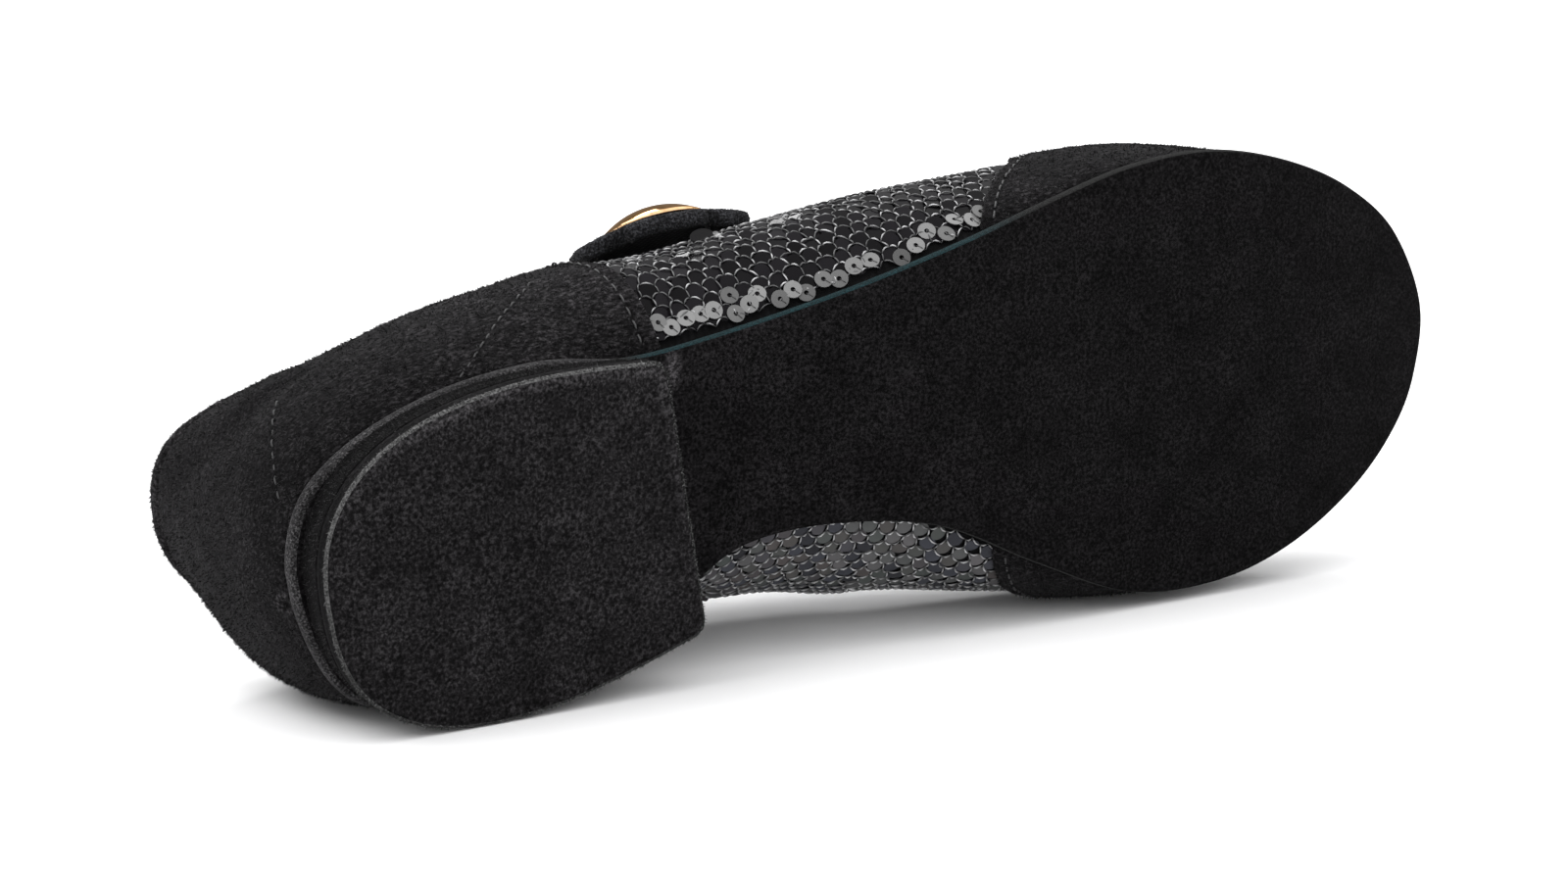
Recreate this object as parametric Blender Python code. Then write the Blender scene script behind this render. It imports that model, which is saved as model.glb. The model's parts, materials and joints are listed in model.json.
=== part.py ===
"""Right dance shoe with a suede sole, a low heel and a button strap, lying on its inner side.

The shoe is worked out upright, in millimetres: x from heel to toe, y towards the inner side, z up from the
floor that it would stand on. An empty then lays the whole assembly on its side.
"""

import math

import bmesh
import bpy
import numpy as np
from mathutils import Matrix, Vector

MM = 0.001
GAP = 0.3

# Sole and heel
SOLE_THICKNESS = 3.0
SOLE_MARGIN = 0.4
FOREFOOT_FLAT = (150.0, 196.0)
TOE_SPRING = 7.0
TOE_SPRING_CURVE = 1.6
SOLE_LENGTH = 250.4
HEEL_HEIGHT = 10.3
TOP_PIECE_THICKNESS = 3.0
HEEL_BACK_X = 5.9
HEEL_WIDEST_X = 46.5
HEEL_BREAST_X = 76.3
HEEL_HALF_WIDTH = 28.9
BREAST_OUTER = 25.2
BREAST_INNER = 25.8
HEEL_ROUNDNESS = 2.5
BREAST_CORNER = 3.2

# The heel block's wall: share of its height, and how far it stands out from the top piece
HEEL_WALL = ((0.0, 0.0), (0.45, -0.7), (0.8, -1.2), (1.0, -1.3))

# Upper, counted as depth below the outer skin
OVERLAY_THICKNESS = 0.9
OVERLAY_GAP = 0.55
UPPER_DEPTH = OVERLAY_THICKNESS + OVERLAY_GAP
FEATHER_GAP = 0.5
UPPER_WALL = 1.8
INSOLE_THICKNESS = 1.6
INSOLE_INSET = 4.2
LOWER_ARC_START = math.radians(35)
BELLY_SHARE = 0.42

# Sections of the last, from the toe tip (row 0) to the back of the heel (last row), for each side.
# x and y are the sole's edge. The belly is the widest line of the wall: how far it lies out from that edge,
# and how high. The arc says how far the wall has turned over when it reaches its top.
SECTION_COLUMNS = ("x", "y", "belly_out", "belly_z", "arc_deg")
OUTER_SECTIONS = (
    (250.4, 14.5, -0.3, 18.0, 90),
    (244.5, -2.0, -0.4, 18.0, 90),
    (232.5, -14.2, -0.5, 17.5, 90),
    (216.5, -23.8, -0.6, 17.0, 90),
    (198.5, -30.4, -0.6, 17.0, 90),
    (180.0, -32.2, 1.4, 18.0, 90),
    (160.0, -30.4, 4.3, 20.0, 90),
    (138.0, -27.4, 8.3, 24.0, 80),
    (115.0, -24.2, 11.1, 27.0, 66),
    (93.0, -22.3, 12.3, 28.0, 58),
    (76.0, -22.6, 13.4, 31.0, 52),
    (58.0, -26.9, 8.3, 33.0, 50),
    (38.0, -27.2, 5.9, 31.0, 48),
    (20.0, -22.9, 4.6, 31.0, 45),
    (9.0, -14.8, 3.2, 31.0, 42),
    (5.6, 0.0, 3.2, 31.0, 40),
)
INNER_SECTIONS = (
    (250.4, 14.5, -0.3, 18.0, 90),
    (246.5, 27.8, -0.2, 18.0, 90),
    (239.0, 36.6, 0.0, 17.5, 90),
    (226.0, 44.3, 0.3, 17.0, 90),
    (207.5, 49.9, 0.8, 17.0, 90),
    (188.0, 51.3, 2.0, 18.5, 90),
    (168.0, 47.0, 4.6, 20.0, 90),
    (148.5, 35.2, 12.0, 28.0, 80),
    (129.5, 22.4, 20.4, 35.0, 66),
    (110.0, 16.7, 20.2, 37.0, 58),
    (92.0, 16.0, 18.4, 38.0, 54),
    (78.0, 21.5, 10.4, 36.0, 52),
    (58.0, 28.4, 1.4, 35.0, 50),
    (36.0, 28.8, 1.3, 35.0, 48),
    (13.0, 19.9, 3.0, 33.0, 44),
    (5.6, 0.0, 3.2, 31.0, 40),
)
HEEL_ROW = len(OUTER_SECTIONS) - 1

# The top of the wall: along the ridge of the vamp to the throat, then round the opening (columns x, y, z)
RIDGE = (
    (224.0, 12.5, 28.0),
    (217.0, 12.2, 30.0),
    (209.0, 11.6, 32.3),
    (199.0, 10.8, 35.5),
    (187.0, 10.0, 39.6),
    (172.0, 9.0, 45.0),
    (154.0, 7.5, 51.0),
)
THROAT_ROW = len(RIDGE) - 1
OUTER_TOPLINE = (
    (145.0, -8.0, 51.0),
    (126.0, -19.5, 51.5),
    (104.0, -26.0, 50.5),
    (82.0, -29.8, 49.0),
    (60.0, -30.2, 49.0),
    (40.0, -27.6, 50.2),
    (17.5, -23.2, 54.5),
    (7.0, -14.6, 59.2),
)
HEEL_TOP = (5.2, 0.0, 61.8)
INNER_TOPLINE = (
    (147.0, 23.5, 51.5),
    (128.0, 34.5, 52.0),
    (106.0, 34.5, 51.0),
    (86.0, 32.3, 49.5),
    (66.0, 29.0, 49.0),
    (42.0, 26.6, 50.0),
    (22.0, 22.2, 53.5),
    (10.4, 13.0, 57.6),
)

# Overlay edges: share of the wall's height, and the section row reached there on the outer and inner side
TOE_CAP_EDGE = ((0.0, 6.6, 7.38), (0.4, 5.76, 6.08), (0.7, 4.92, 5.0), (1.0, 4.0, 4.0))
COUNTER_WHOLE_ROWS = (10 + 1 / 3, 11)
COUNTER_EDGE = ((0.0, 9.57, 10.85), (0.4, 9.63, 10.7), (0.7, 9.78, 10.4), (1.0, 9.93, 10.2))

# Padded binding of the opening: section row, half thickness and half height
BINDING = ((THROAT_ROW, 1.3, 1.2), (9, 1.5, 1.5), (11, 1.9, 1.9), (13, 2.4, 2.2), (HEEL_ROW, 2.6, 2.3))

# Strap, from its tab on the outer side to its end inside the inner wall (columns x, y, z, turn in degrees)
STRAP_WIDTH = 32.0
STRAP_THICKNESS = 2.4
STRAP_TAB_LENGTH = 8.0
STRAP_TAB_ROUNDNESS = 2.5
STRAP_TIP_SHARE = 0.45
STRAP_CROWN = 2.0
STRAP_CROWN_LENGTH = 12.0
STRAP_CROWN_LEFT = 0.3
STRAP_ROLL_DEG = 5.5
STRAP_PATH = (
    (102.6, -36.6, 39.2, 3.0),
    (103.9, -34.3, 43.2, 3.0),
    (105.4, -31.5, 48.0, 3.0),
    (106.5, -28.3, 53.2, 2.0),
    (106.5, -24.6, 58.8, 1.0),
    (105.4, -18.2, 64.4, 0.0),
    (103.6, -6.0, 68.5, 0.0),
    (101.8, 10.0, 68.0, 0.0),
    (100.5, 22.0, 63.0, 0.0),
    (100.0, 26.0, 56.0, 0.0),
    (100.0, 27.0, 48.0, 0.0),
)

# Domed button near the end of the strap
BUTTON_RADIUS = 10.0
BUTTON_HEIGHT = 3.4
BUTTON_RIM = 0.8
BUTTON_LIFT = 0.45
BUTTON_FROM_TAB = 12.0

# Mesh steps, and the short step that slopes are measured over
SLOPE_STEP = 0.01
JOIN_DISTANCE = 1e-4
SHARP_ANGLE = math.radians(40)
COLUMNS_PER_ROW = 3
WALL_STEPS = 11
EDGE_STEPS = 8
COUNTER_EDGE_STEPS = 2
SOLE_STEPS = 56
SOLE_EDGE_SAMPLES = 20
SOLE_MARK_CLEARANCE = 1.0
HEEL_ARC_STEPS = 28
CORNER_STEPS = 4
BINDING_SIDES = 10
STRAP_STEPS = 26
STRAP_STEP_CROWDING = 1.5
STRAP_SAMPLES = 100
STRAP_ACROSS = 8
BUTTON_SIDES = 28
BUTTON_RINGS = 5

# Colours from the photograph: base colour, roughness, metallic
SUEDE = ((0.012, 0.012, 0.013), 0.95, 0.0)
SOLE_SUEDE = ((0.008, 0.008, 0.009), 0.95, 0.0)
SEQUIN_CLOTH = ((0.02, 0.02, 0.022), 0.3, 0.0)
LINING = ((0.03, 0.03, 0.03), 0.8, 0.0)
GOLD = ((0.83, 0.58, 0.30), 0.15, 1.0)


def spline(points, place):
    """A Catmull-Rom curve through rows of numbers, at a place counted in rows.

    The first and the last row only steer the curve's ends, so place 0 is the second row.
    """
    points = np.asarray(points, float)
    first = int(min(max(math.floor(place), 0), len(points) - 4))
    a, b, c, d = points[first : first + 4]
    t = place - first
    return 0.5 * (
        2 * b + (c - a) * t + (2 * a - 5 * b + 4 * c - d) * t**2 + (3 * b - a - 3 * c + d) * t**3
    )


def steps_between(rows, place):
    """The other columns of a table at a place in its first column, in a straight line between rows."""
    rows = np.asarray(rows, float)
    return np.array([np.interp(place, rows[:, 0], column) for column in rows[:, 1:].T])


def section(row):
    """The section at a row: positive rows run along the outer side, negative ones along the inner side."""
    own, other = (OUTER_SECTIONS, INNER_SECTIONS) if row >= 0 else (INNER_SECTIONS, OUTER_SECTIONS)
    points = [other[1], *own, other[HEEL_ROW - 1]]
    return dict(zip(SECTION_COLUMNS, spline(points, abs(row))))


def sole_edge(row):
    """Plan point of the sole's edge and the direction out of it."""
    here = section(row)
    places = [min(max(row + step, -HEEL_ROW), HEEL_ROW) for step in (-SLOPE_STEP, SLOPE_STEP)]
    before, after = [section(place) for place in places]
    along = Vector((after["x"] - before["x"], after["y"] - before["y"]))
    if abs(row) == HEEL_ROW:
        along = Vector((0.0, 1.0))
    return Vector((here["x"], here["y"])), Vector((-along.y, along.x)).normalized()


def top_point(row):
    """The top of the wall: on the ridge in front of the throat, and on the topline behind it."""
    if abs(row) <= THROAT_ROW:
        before = 2 * np.array(RIDGE[0]) - np.array(RIDGE[1])
        after = 2 * np.array(RIDGE[-1]) - np.array(RIDGE[-2])
        return spline([before, *RIDGE, after], abs(row))
    own, other = (OUTER_TOPLINE, INNER_TOPLINE) if row > 0 else (INNER_TOPLINE, OUTER_TOPLINE)
    loop = [other[0], RIDGE[-1], *own, HEEL_TOP, other[-1]]
    return spline(loop, abs(row) - THROAT_ROW)


def smooth_step(t):
    t = min(max(t, 0.0), 1.0)
    return t * t * (3 - 2 * t)


def sole_bottom(x):
    """Height of the sole's lower face: flat under the forefoot, raised at the heel seat and at the toe."""
    seat = HEEL_HEIGHT + GAP
    flat_back, flat_front = FOREFOOT_FLAT
    if x < flat_back:
        return seat * smooth_step((flat_back - x) / (flat_back - HEEL_BREAST_X))
    return TOE_SPRING * max(0.0, (x - flat_front) / (SOLE_LENGTH - flat_front)) ** TOE_SPRING_CURVE


def sole_top(x):
    return sole_bottom(x) + SOLE_THICKNESS


def skin(row, share):
    """Point of the outer skin: share 0 at the sole, BELLY_SHARE at the widest line, 1 at the top."""
    values = section(row)
    edge, out = sole_edge(row)
    belly = edge + out * values["belly_out"]
    top = top_point(row)
    foot_z = sole_top(edge.x) + FEATHER_GAP
    if share <= BELLY_SHARE:
        turn = LOWER_ARC_START + (math.pi / 2 - LOWER_ARC_START) * share / BELLY_SHARE
        across = (math.sin(turn) - math.sin(LOWER_ARC_START)) / (1 - math.sin(LOWER_ARC_START))
        plan = edge.lerp(belly, across)
        drop = (values["belly_z"] - foot_z) * math.cos(turn) / math.cos(LOWER_ARC_START)
        return Vector((plan.x, plan.y, values["belly_z"] - drop))
    end = math.radians(values["arc_deg"])
    turn = end * (share - BELLY_SHARE) / (1 - BELLY_SHARE)
    across = (1 - math.cos(turn)) / (1 - math.cos(end))
    plan = belly.lerp(Vector(top[:2]), across)
    rise = (top[2] - values["belly_z"]) * math.sin(turn) / math.sin(end)
    return Vector((plan.x, plan.y, values["belly_z"] + rise))


def add_grid(mesh, columns, closed=False):
    """Quads between columns of points. Points that coincide are joined."""
    grid = [[mesh.verts.new(point) for point in column] for column in columns]
    pairs = list(zip(grid, grid[1:])) + ([(grid[-1], grid[0])] if closed else [])
    for near, far in pairs:
        for low in range(len(near) - 1):
            mesh.faces.new((near[low], far[low], far[low + 1], near[low + 1]))
    bmesh.ops.remove_doubles(mesh, verts=mesh.verts, dist=JOIN_DISTANCE)
    return mesh


def thicken(mesh, depth, thickness):
    """Turns an open sheet into a closed wall that starts at a depth below it."""
    mesh.normal_update()
    sheet = list(mesh.verts)
    faces = list(mesh.faces)
    rims = [edge for edge in mesh.edges if edge.is_boundary]
    rim_loops = [(loop.vert, loop.link_loop_next.vert) for edge in rims for loop in edge.link_loops]
    inner = {vert: mesh.verts.new(vert.co - vert.normal * (depth + thickness)) for vert in sheet}
    for vert in sheet:
        vert.co -= vert.normal * depth
    for face in faces:
        mesh.faces.new([inner[vert] for vert in reversed(face.verts)])
    for start, end in rim_loops:
        mesh.faces.new((end, start, inner[start], inner[end]))
    return mesh


def add_stack(mesh, rings):
    """Closes a stack of rings, bottom to top, with a flat face at each end."""
    loops = [[mesh.verts.new(point) for point in ring] for ring in rings]
    count = len(loops[0])
    for lower, upper in zip(loops, loops[1:]):
        for i in range(count):
            j = (i + 1) % count
            mesh.faces.new((lower[i], lower[j], upper[j], upper[i]))
    mesh.faces.new(list(reversed(loops[0])))
    mesh.faces.new(loops[-1])
    return mesh


def add_plank(mesh, rungs, bottom, top):
    """A plank between two heights, laid across (x, outer y, inner y) from toe to heel."""
    levels = []
    for height in (bottom, top):
        rows = []
        for x, outer, inner in rungs:
            rows.append([mesh.verts.new((x, y, height(x))) for y in dict.fromkeys((outer, inner))])
        levels.append(rows)
    for rows, lower in zip(levels, (True, False)):
        for near, far in zip(rows, rows[1:]):
            face = list(dict.fromkeys((near[-1], near[0], far[0], far[-1])))
            mesh.faces.new(face if lower else face[::-1])
    loops = [[row[0] for row in rows] + [row[1] for row in reversed(rows[1:-1])] for rows in levels]
    for i, start in enumerate(loops[0]):
        j = (i + 1) % len(loops[0])
        mesh.faces.new((start, loops[0][j], loops[1][j], loops[1][i]))
    return mesh


def material(name, finish):
    colour, roughness, metallic = finish
    made = bpy.data.materials.new(name)
    made.use_nodes = True
    shader = made.node_tree.nodes["Principled BSDF"]
    shader.inputs["Base Color"].default_value = (*colour, 1.0)
    shader.inputs["Roughness"].default_value = roughness
    shader.inputs["Metallic"].default_value = metallic
    return made


def finish_object(name, mesh, finish, parent):
    """Makes an object of a mesh in millimetres, smooth where it is round."""
    bmesh.ops.recalc_face_normals(mesh, faces=mesh.faces)
    bmesh.ops.triangulate(mesh, faces=[face for face in mesh.faces if len(face.verts) > 4])
    data = bpy.data.meshes.new(name)
    mesh.to_mesh(data)
    mesh.free()
    data.transform(Matrix.Scale(MM, 4))
    data.shade_smooth()
    data.set_sharp_from_angle(angle=SHARP_ANGLE)
    data.materials.append(material(name, finish))
    made = bpy.data.objects.new(name, data)
    bpy.context.scene.collection.objects.link(made)
    made.parent = parent
    return made


def rows_round():
    """Section rows all the way round: from the heel by the outer side to the toe, and back by the inner."""
    count = 2 * HEEL_ROW * COLUMNS_PER_ROW
    return [HEEL_ROW - i / COLUMNS_PER_ROW for i in range(count)]


def rows_from(first, last):
    """The section rows of the mesh from one row to another."""
    count = round((last - first) * COLUMNS_PER_ROW)
    return [last - i / COLUMNS_PER_ROW for i in range(count, -1, -1)]


def wall_shares():
    return [i / WALL_STEPS for i in range(WALL_STEPS + 1)]


def upper_sheet():
    columns = [[skin(row, share) for share in wall_shares()] for row in rows_round()]
    return add_grid(bmesh.new(), columns, closed=True)


def overlay_sheet(rows, edge_table, edge_steps):
    """The skin over whole section rows, carried on at each end to the overlay's own edge."""
    columns = [[skin(row, share) for share in wall_shares()] for row in rows]
    for at_end, last in ((False, rows[0]), (True, rows[-1])):
        side = 0 if last > 0 else 1
        for step in range(1, edge_steps + 1):
            column = []
            for share in wall_shares():
                edge = steps_between(edge_table, share)[side]
                row = abs(last) + (edge - abs(last)) * step / edge_steps
                column.append(skin(math.copysign(row, last), share))
            columns.insert(len(columns) if at_end else 0, column)
    return add_grid(bmesh.new(), columns)


def toe_cap_sheet():
    whole = round(TOE_CAP_EDGE[-1][1] * COLUMNS_PER_ROW)
    rows = [place / COLUMNS_PER_ROW for place in range(whole, -whole - 1, -1)]
    return overlay_sheet(rows, TOE_CAP_EDGE, EDGE_STEPS)


def counter_sheet():
    """The skin behind the counter's front edge, round the heel."""
    outer_first, inner_first = COUNTER_WHOLE_ROWS
    outer = rows_from(outer_first, HEEL_ROW)
    inner = rows_from(inner_first, HEEL_ROW)[:-1]
    return overlay_sheet([*[-row for row in inner], *reversed(outer)], COUNTER_EDGE, COUNTER_EDGE_STEPS)


def binding_mesh():
    """A padded roll that follows the opening, just above the wall's edge."""
    sheet = upper_sheet()
    sheet.normal_update()
    rows = [row for row in rows_round() if abs(row) >= THROAT_ROW and row != -THROAT_ROW]
    tops = [min(sheet.verts, key=lambda vert: (vert.co - skin(row, 1.0)).length_squared) for row in rows]
    middle = (UPPER_DEPTH + UPPER_WALL) / 2
    turns = [2 * math.pi * side / BINDING_SIDES for side in range(BINDING_SIDES + 1)]
    rings = []
    for i, row in enumerate(rows):
        along = (tops[(i + 1) % len(rows)].co - tops[i - 1].co).normalized()
        out = tops[i].normal
        rise = out.cross(along).normalized()
        half_thickness, half_height = steps_between(BINDING, abs(row))
        centre = tops[i].co - out * middle + rise * (half_height + GAP)
        wide, high = out * half_thickness, rise * half_height
        rings.append([centre + wide * math.cos(turn) + high * math.sin(turn) for turn in turns])
    sheet.free()
    return add_grid(bmesh.new(), rings, closed=True)


def strap_values(place):
    """A row of the strap's path, at a place counted in its rows."""
    path = np.array(STRAP_PATH)
    path = np.vstack([2 * path[0] - path[1], path, 2 * path[-1] - path[-2]])
    return spline(path, min(max(place, 0), len(STRAP_PATH) - 1))


def strap_reach():
    """Lengths of strap from the tab, and the place on its path that each one reaches."""
    places = np.linspace(0, len(STRAP_PATH) - 1, STRAP_SAMPLES + 1)
    points = np.array([strap_values(place)[:3] for place in places])
    steps = np.linalg.norm(np.diff(points, axis=0), axis=1)
    return np.concatenate([[0.0], np.cumsum(steps)]), places


def strap_frame(from_tab):
    """Point, direction along and direction out of the strap's middle line, at a length from its tab."""
    place = float(np.interp(from_tab, *strap_reach()))
    x, y, z, turn_deg = strap_values(place)
    before, after = [strap_values(place + step)[:3] for step in (-SLOPE_STEP, SLOPE_STEP)]
    along = Vector(after - before).normalized()
    turn = math.radians(turn_deg)
    across = Vector((math.cos(turn), math.sin(turn), 0.0))
    level = across.cross(along).normalized()
    roll = math.radians(STRAP_ROLL_DEG) * (1 - place / (len(STRAP_PATH) - 1))
    out = level * math.cos(roll) + along.cross(level) * math.sin(roll)
    return Vector((x, y, z)), along, out


def strap_mesh():
    """A band with a rounded tab at its outer end, where it is crowned across its width."""
    length = strap_reach()[0][-1]
    columns = []
    for i in range(STRAP_STEPS + 1):
        from_tab = length * (i / STRAP_STEPS) ** STRAP_STEP_CROWDING
        point, along, out = strap_frame(from_tab)
        side = along.cross(out)
        short = max(0.0, 1 - from_tab / STRAP_TAB_LENGTH)
        half = STRAP_WIDTH / 2 * max(STRAP_TIP_SHARE, math.sqrt(1 - short**STRAP_TAB_ROUNDNESS))
        fade = max(0.0, 1 - from_tab / STRAP_CROWN_LENGTH)
        crown = STRAP_CROWN * (STRAP_CROWN_LEFT + (1 - STRAP_CROWN_LEFT) * fade)
        column = []
        for k in range(STRAP_ACROSS + 1):
            across = half * (2 * k / STRAP_ACROSS - 1)
            sink = crown * (across / (STRAP_WIDTH / 2)) ** 2
            column.append(point + side * across - out * sink)
        columns.append(column)
    sheet = add_grid(bmesh.new(), columns)
    return thicken(sheet, -STRAP_THICKNESS / 2, STRAP_THICKNESS)


def button_mesh():
    """A domed cap that lies on the strap's outer face."""
    point, along, out = strap_frame(BUTTON_FROM_TAB)
    base = point + out * (STRAP_THICKNESS / 2 + BUTTON_LIFT)
    side = along.cross(out)
    sphere = (BUTTON_RADIUS**2 + BUTTON_HEIGHT**2) / (2 * BUTTON_HEIGHT)
    limit = math.asin(BUTTON_RADIUS / sphere)
    profile = [(BUTTON_RADIUS, 0.0)]
    for ring in range(BUTTON_RINGS):
        turn = limit * (1 - ring / BUTTON_RINGS)
        rise = sphere * (math.cos(turn) - math.cos(limit)) + BUTTON_RIM
        profile.append((sphere * math.sin(turn), rise))
    turns = [2 * math.pi * k / BUTTON_SIDES for k in range(BUTTON_SIDES)]
    spokes = [along * math.cos(turn) + side * math.sin(turn) for turn in turns]
    rings = [[base + out * rise + spoke * radius for spoke in spokes] for radius, rise in profile]
    return add_stack(bmesh.new(), rings)


def heel_outline(expand):
    """Plan outline of the heel: a rounded back and a straight breast with eased corners."""
    half = HEEL_HALF_WIDTH + expand
    back = HEEL_BACK_X - expand
    power = 2 / HEEL_ROUNDNESS
    points = []
    for i in range(HEEL_ARC_STEPS + 1):
        turn = math.pi * (i / HEEL_ARC_STEPS - 0.5)
        across = math.copysign(abs(math.sin(turn)) ** power, math.sin(turn))
        behind = (HEEL_WIDEST_X - back) * abs(math.cos(turn)) ** power
        points.append((HEEL_WIDEST_X - behind, half * across))
    corner_x = HEEL_BREAST_X - BREAST_CORNER
    for breast, order in ((BREAST_INNER + expand, 1), (-BREAST_OUTER - expand, -1)):
        corner = []
        for i in range(CORNER_STEPS + 1):
            turn = math.pi / 2 * i / CORNER_STEPS
            y = breast - math.copysign(BREAST_CORNER * (1 - math.cos(turn)), breast)
            corner.append((corner_x + BREAST_CORNER * math.sin(turn), y))
        points += corner[::order]
    return points[::-1]


def heel_block_mesh():
    """The covered heel between top piece and seat, drawn in towards the seat."""
    low = TOP_PIECE_THICKNESS + GAP
    rings = []
    for share, expand in HEEL_WALL:
        height = low + (HEEL_HEIGHT - low) * share
        rings.append([(x, y, height) for x, y in heel_outline(expand)])
    return add_stack(bmesh.new(), rings)


def top_piece_mesh():
    rings = [[(x, y, height) for x, y in heel_outline(0.0)] for height in (0.0, TOP_PIECE_THICKNESS)]
    return add_stack(bmesh.new(), rings)


def plank_rungs(margin):
    """(x, outer y, inner y) from toe to heel, with the sole's edge set out by a margin."""
    sides = []
    for sign in (1, -1):
        points = []
        for i in range(HEEL_ROW * SOLE_EDGE_SAMPLES + 1):
            edge, out = sole_edge(sign * i / SOLE_EDGE_SAMPLES)
            points.append(edge + out * margin)
        sides.append(np.array(points)[::-1])
    heel_x, toe_x = sides[0][0][0], sides[0][-1][0]
    marks = [HEEL_BREAST_X, *FOREFOOT_FLAT]
    places = list(marks)
    for i in range(SOLE_STEPS + 1):
        x = heel_x + (toe_x - heel_x) * (1 - math.cos(math.pi * i / SOLE_STEPS)) / 2
        if min(abs(x - mark) for mark in marks) > SOLE_MARK_CLEARANCE:
            places.append(x)
    rungs = []
    for x in sorted(places):
        rungs.append((x, *[float(np.interp(x, side[:, 0], side[:, 1])) for side in sides]))
    ends = [(rungs[i][0], sides[0][i][1], sides[0][i][1]) for i in (0, -1)]
    return [ends[1], *rungs[-2:0:-1], ends[0]]


def outsole_mesh():
    return add_plank(bmesh.new(), plank_rungs(SOLE_MARGIN), sole_bottom, sole_top)


def insole_mesh():
    def bottom(x):
        return sole_top(x) + GAP

    def top(x):
        return bottom(x) + INSOLE_THICKNESS

    return add_plank(bmesh.new(), plank_rungs(-INSOLE_INSET), bottom, top)


def mass_centre(parts):
    """Middle of the parts' volume."""
    volume = 0.0
    moment = Vector()
    for part in parts:
        part.data.calc_loop_triangles()
        for triangle in part.data.loop_triangles:
            a, b, c = [part.data.vertices[i].co for i in triangle.vertices]
            share = a.dot(b.cross(c)) / 6
            volume += share
            moment += share * (a + b + c) / 4
    return moment / volume


def lying_side(parts):
    """Turn and shift that lay the upright shoe on its inner side, on the facet of its hull that holds it."""
    points = [vert.co.copy() for part in parts for vert in part.data.vertices]
    hull = bmesh.new()
    for point in points:
        hull.verts.new(point)
    bmesh.ops.convex_hull(hull, input=hull.verts)
    hull.normal_update()
    middle = mass_centre(parts)
    floor = max(hull.faces, key=lambda face: face.normal.y if under(face, middle) else -1.0)
    up = -floor.normal.copy()
    hull.free()
    ahead = Vector((1.0, 0.0, 0.0))
    ahead = (ahead - up * ahead.dot(up)).normalized()
    turn = Matrix((ahead, up.cross(ahead), up))
    laid = [turn @ point for point in points]
    lows = [min(point[i] for point in laid) for i in range(3)]
    highs = [max(point[i] for point in laid) for i in range(3)]
    shift = Vector((-(lows[0] + highs[0]) / 2, -(lows[1] + highs[1]) / 2, -lows[2]))
    return Matrix.Translation(shift) @ turn.to_4x4()


def under(face, point):
    """True where the point stands over this triangle of the hull."""
    corners = [vert.co for vert in face.verts]
    for a, b in zip(corners, corners[1:] + corners[:1]):
        if (b - a).cross(point - a).dot(face.normal) < 0:
            return False
    return True


def main():
    for old in list(bpy.data.objects):
        bpy.data.objects.remove(old, do_unlink=True)
    shoe = bpy.data.objects.new("shoe_axes", None)
    bpy.context.scene.collection.objects.link(shoe)
    parts = [
        finish_object("outsole", outsole_mesh(), SOLE_SUEDE, shoe),
        finish_object("heel_block", heel_block_mesh(), SUEDE, shoe),
        finish_object("heel_top_piece", top_piece_mesh(), SOLE_SUEDE, shoe),
        finish_object("insole", insole_mesh(), LINING, shoe),
        finish_object("upper", thicken(upper_sheet(), UPPER_DEPTH, UPPER_WALL), SEQUIN_CLOTH, shoe),
        finish_object("toe_cap", thicken(toe_cap_sheet(), 0.0, OVERLAY_THICKNESS), SUEDE, shoe),
        finish_object("heel_counter", thicken(counter_sheet(), 0.0, OVERLAY_THICKNESS), SUEDE, shoe),
        finish_object("collar_binding", binding_mesh(), SUEDE, shoe),
        finish_object("strap", strap_mesh(), SUEDE, shoe),
        finish_object("strap_button", button_mesh(), GOLD, shoe),
    ]
    shoe.matrix_world = lying_side(parts)


main()
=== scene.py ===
"""Looks of a right dance shoe: suede, sequin cloth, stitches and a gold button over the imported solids.

Pieces are worked out in the shoe's own axes, in millimetres: x from heel to toe, y towards the inner side, z up
from the floor that the shoe would stand on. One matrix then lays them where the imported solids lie.
"""

import json
import math

import bmesh
import bpy
import numpy as np
from mathutils import Matrix, Quaternion, Vector, noise


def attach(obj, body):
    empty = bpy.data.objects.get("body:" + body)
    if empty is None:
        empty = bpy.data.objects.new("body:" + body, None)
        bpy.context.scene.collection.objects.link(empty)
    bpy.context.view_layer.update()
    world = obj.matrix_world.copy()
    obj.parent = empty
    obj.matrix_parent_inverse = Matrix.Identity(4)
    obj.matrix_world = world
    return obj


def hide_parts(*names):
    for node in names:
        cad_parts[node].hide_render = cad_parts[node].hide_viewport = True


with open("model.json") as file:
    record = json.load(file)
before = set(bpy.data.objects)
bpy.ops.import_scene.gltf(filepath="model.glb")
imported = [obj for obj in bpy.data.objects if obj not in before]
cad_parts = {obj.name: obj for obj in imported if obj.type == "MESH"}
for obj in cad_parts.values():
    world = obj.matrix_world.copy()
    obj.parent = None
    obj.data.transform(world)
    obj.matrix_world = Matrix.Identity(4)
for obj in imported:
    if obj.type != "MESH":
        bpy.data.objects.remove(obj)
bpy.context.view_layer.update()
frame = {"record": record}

BODY = "root"
MM = 0.001
GAP = 0.3
HEEL_TREAD_X = 44.0

# Sole and heel
SOLE_THICKNESS = 3.0
SOLE_MARGIN = 0.4
FOREFOOT_FLAT = (150.0, 196.0)
TOE_SPRING = 7.0
TOE_SPRING_CURVE = 1.6
SOLE_LENGTH = 250.4
HEEL_HEIGHT = 10.3
TOP_PIECE_THICKNESS = 3.0
HEEL_BACK_X = 5.9
HEEL_WIDEST_X = 46.5
HEEL_BREAST_X = 76.3
HEEL_HALF_WIDTH = 28.9
BREAST_OUTER = 25.2
BREAST_INNER = 25.8
HEEL_ROUNDNESS = 2.5
HEEL_SIDE_CURVE = 1.5
BREAST_CORNER = 3.2

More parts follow.
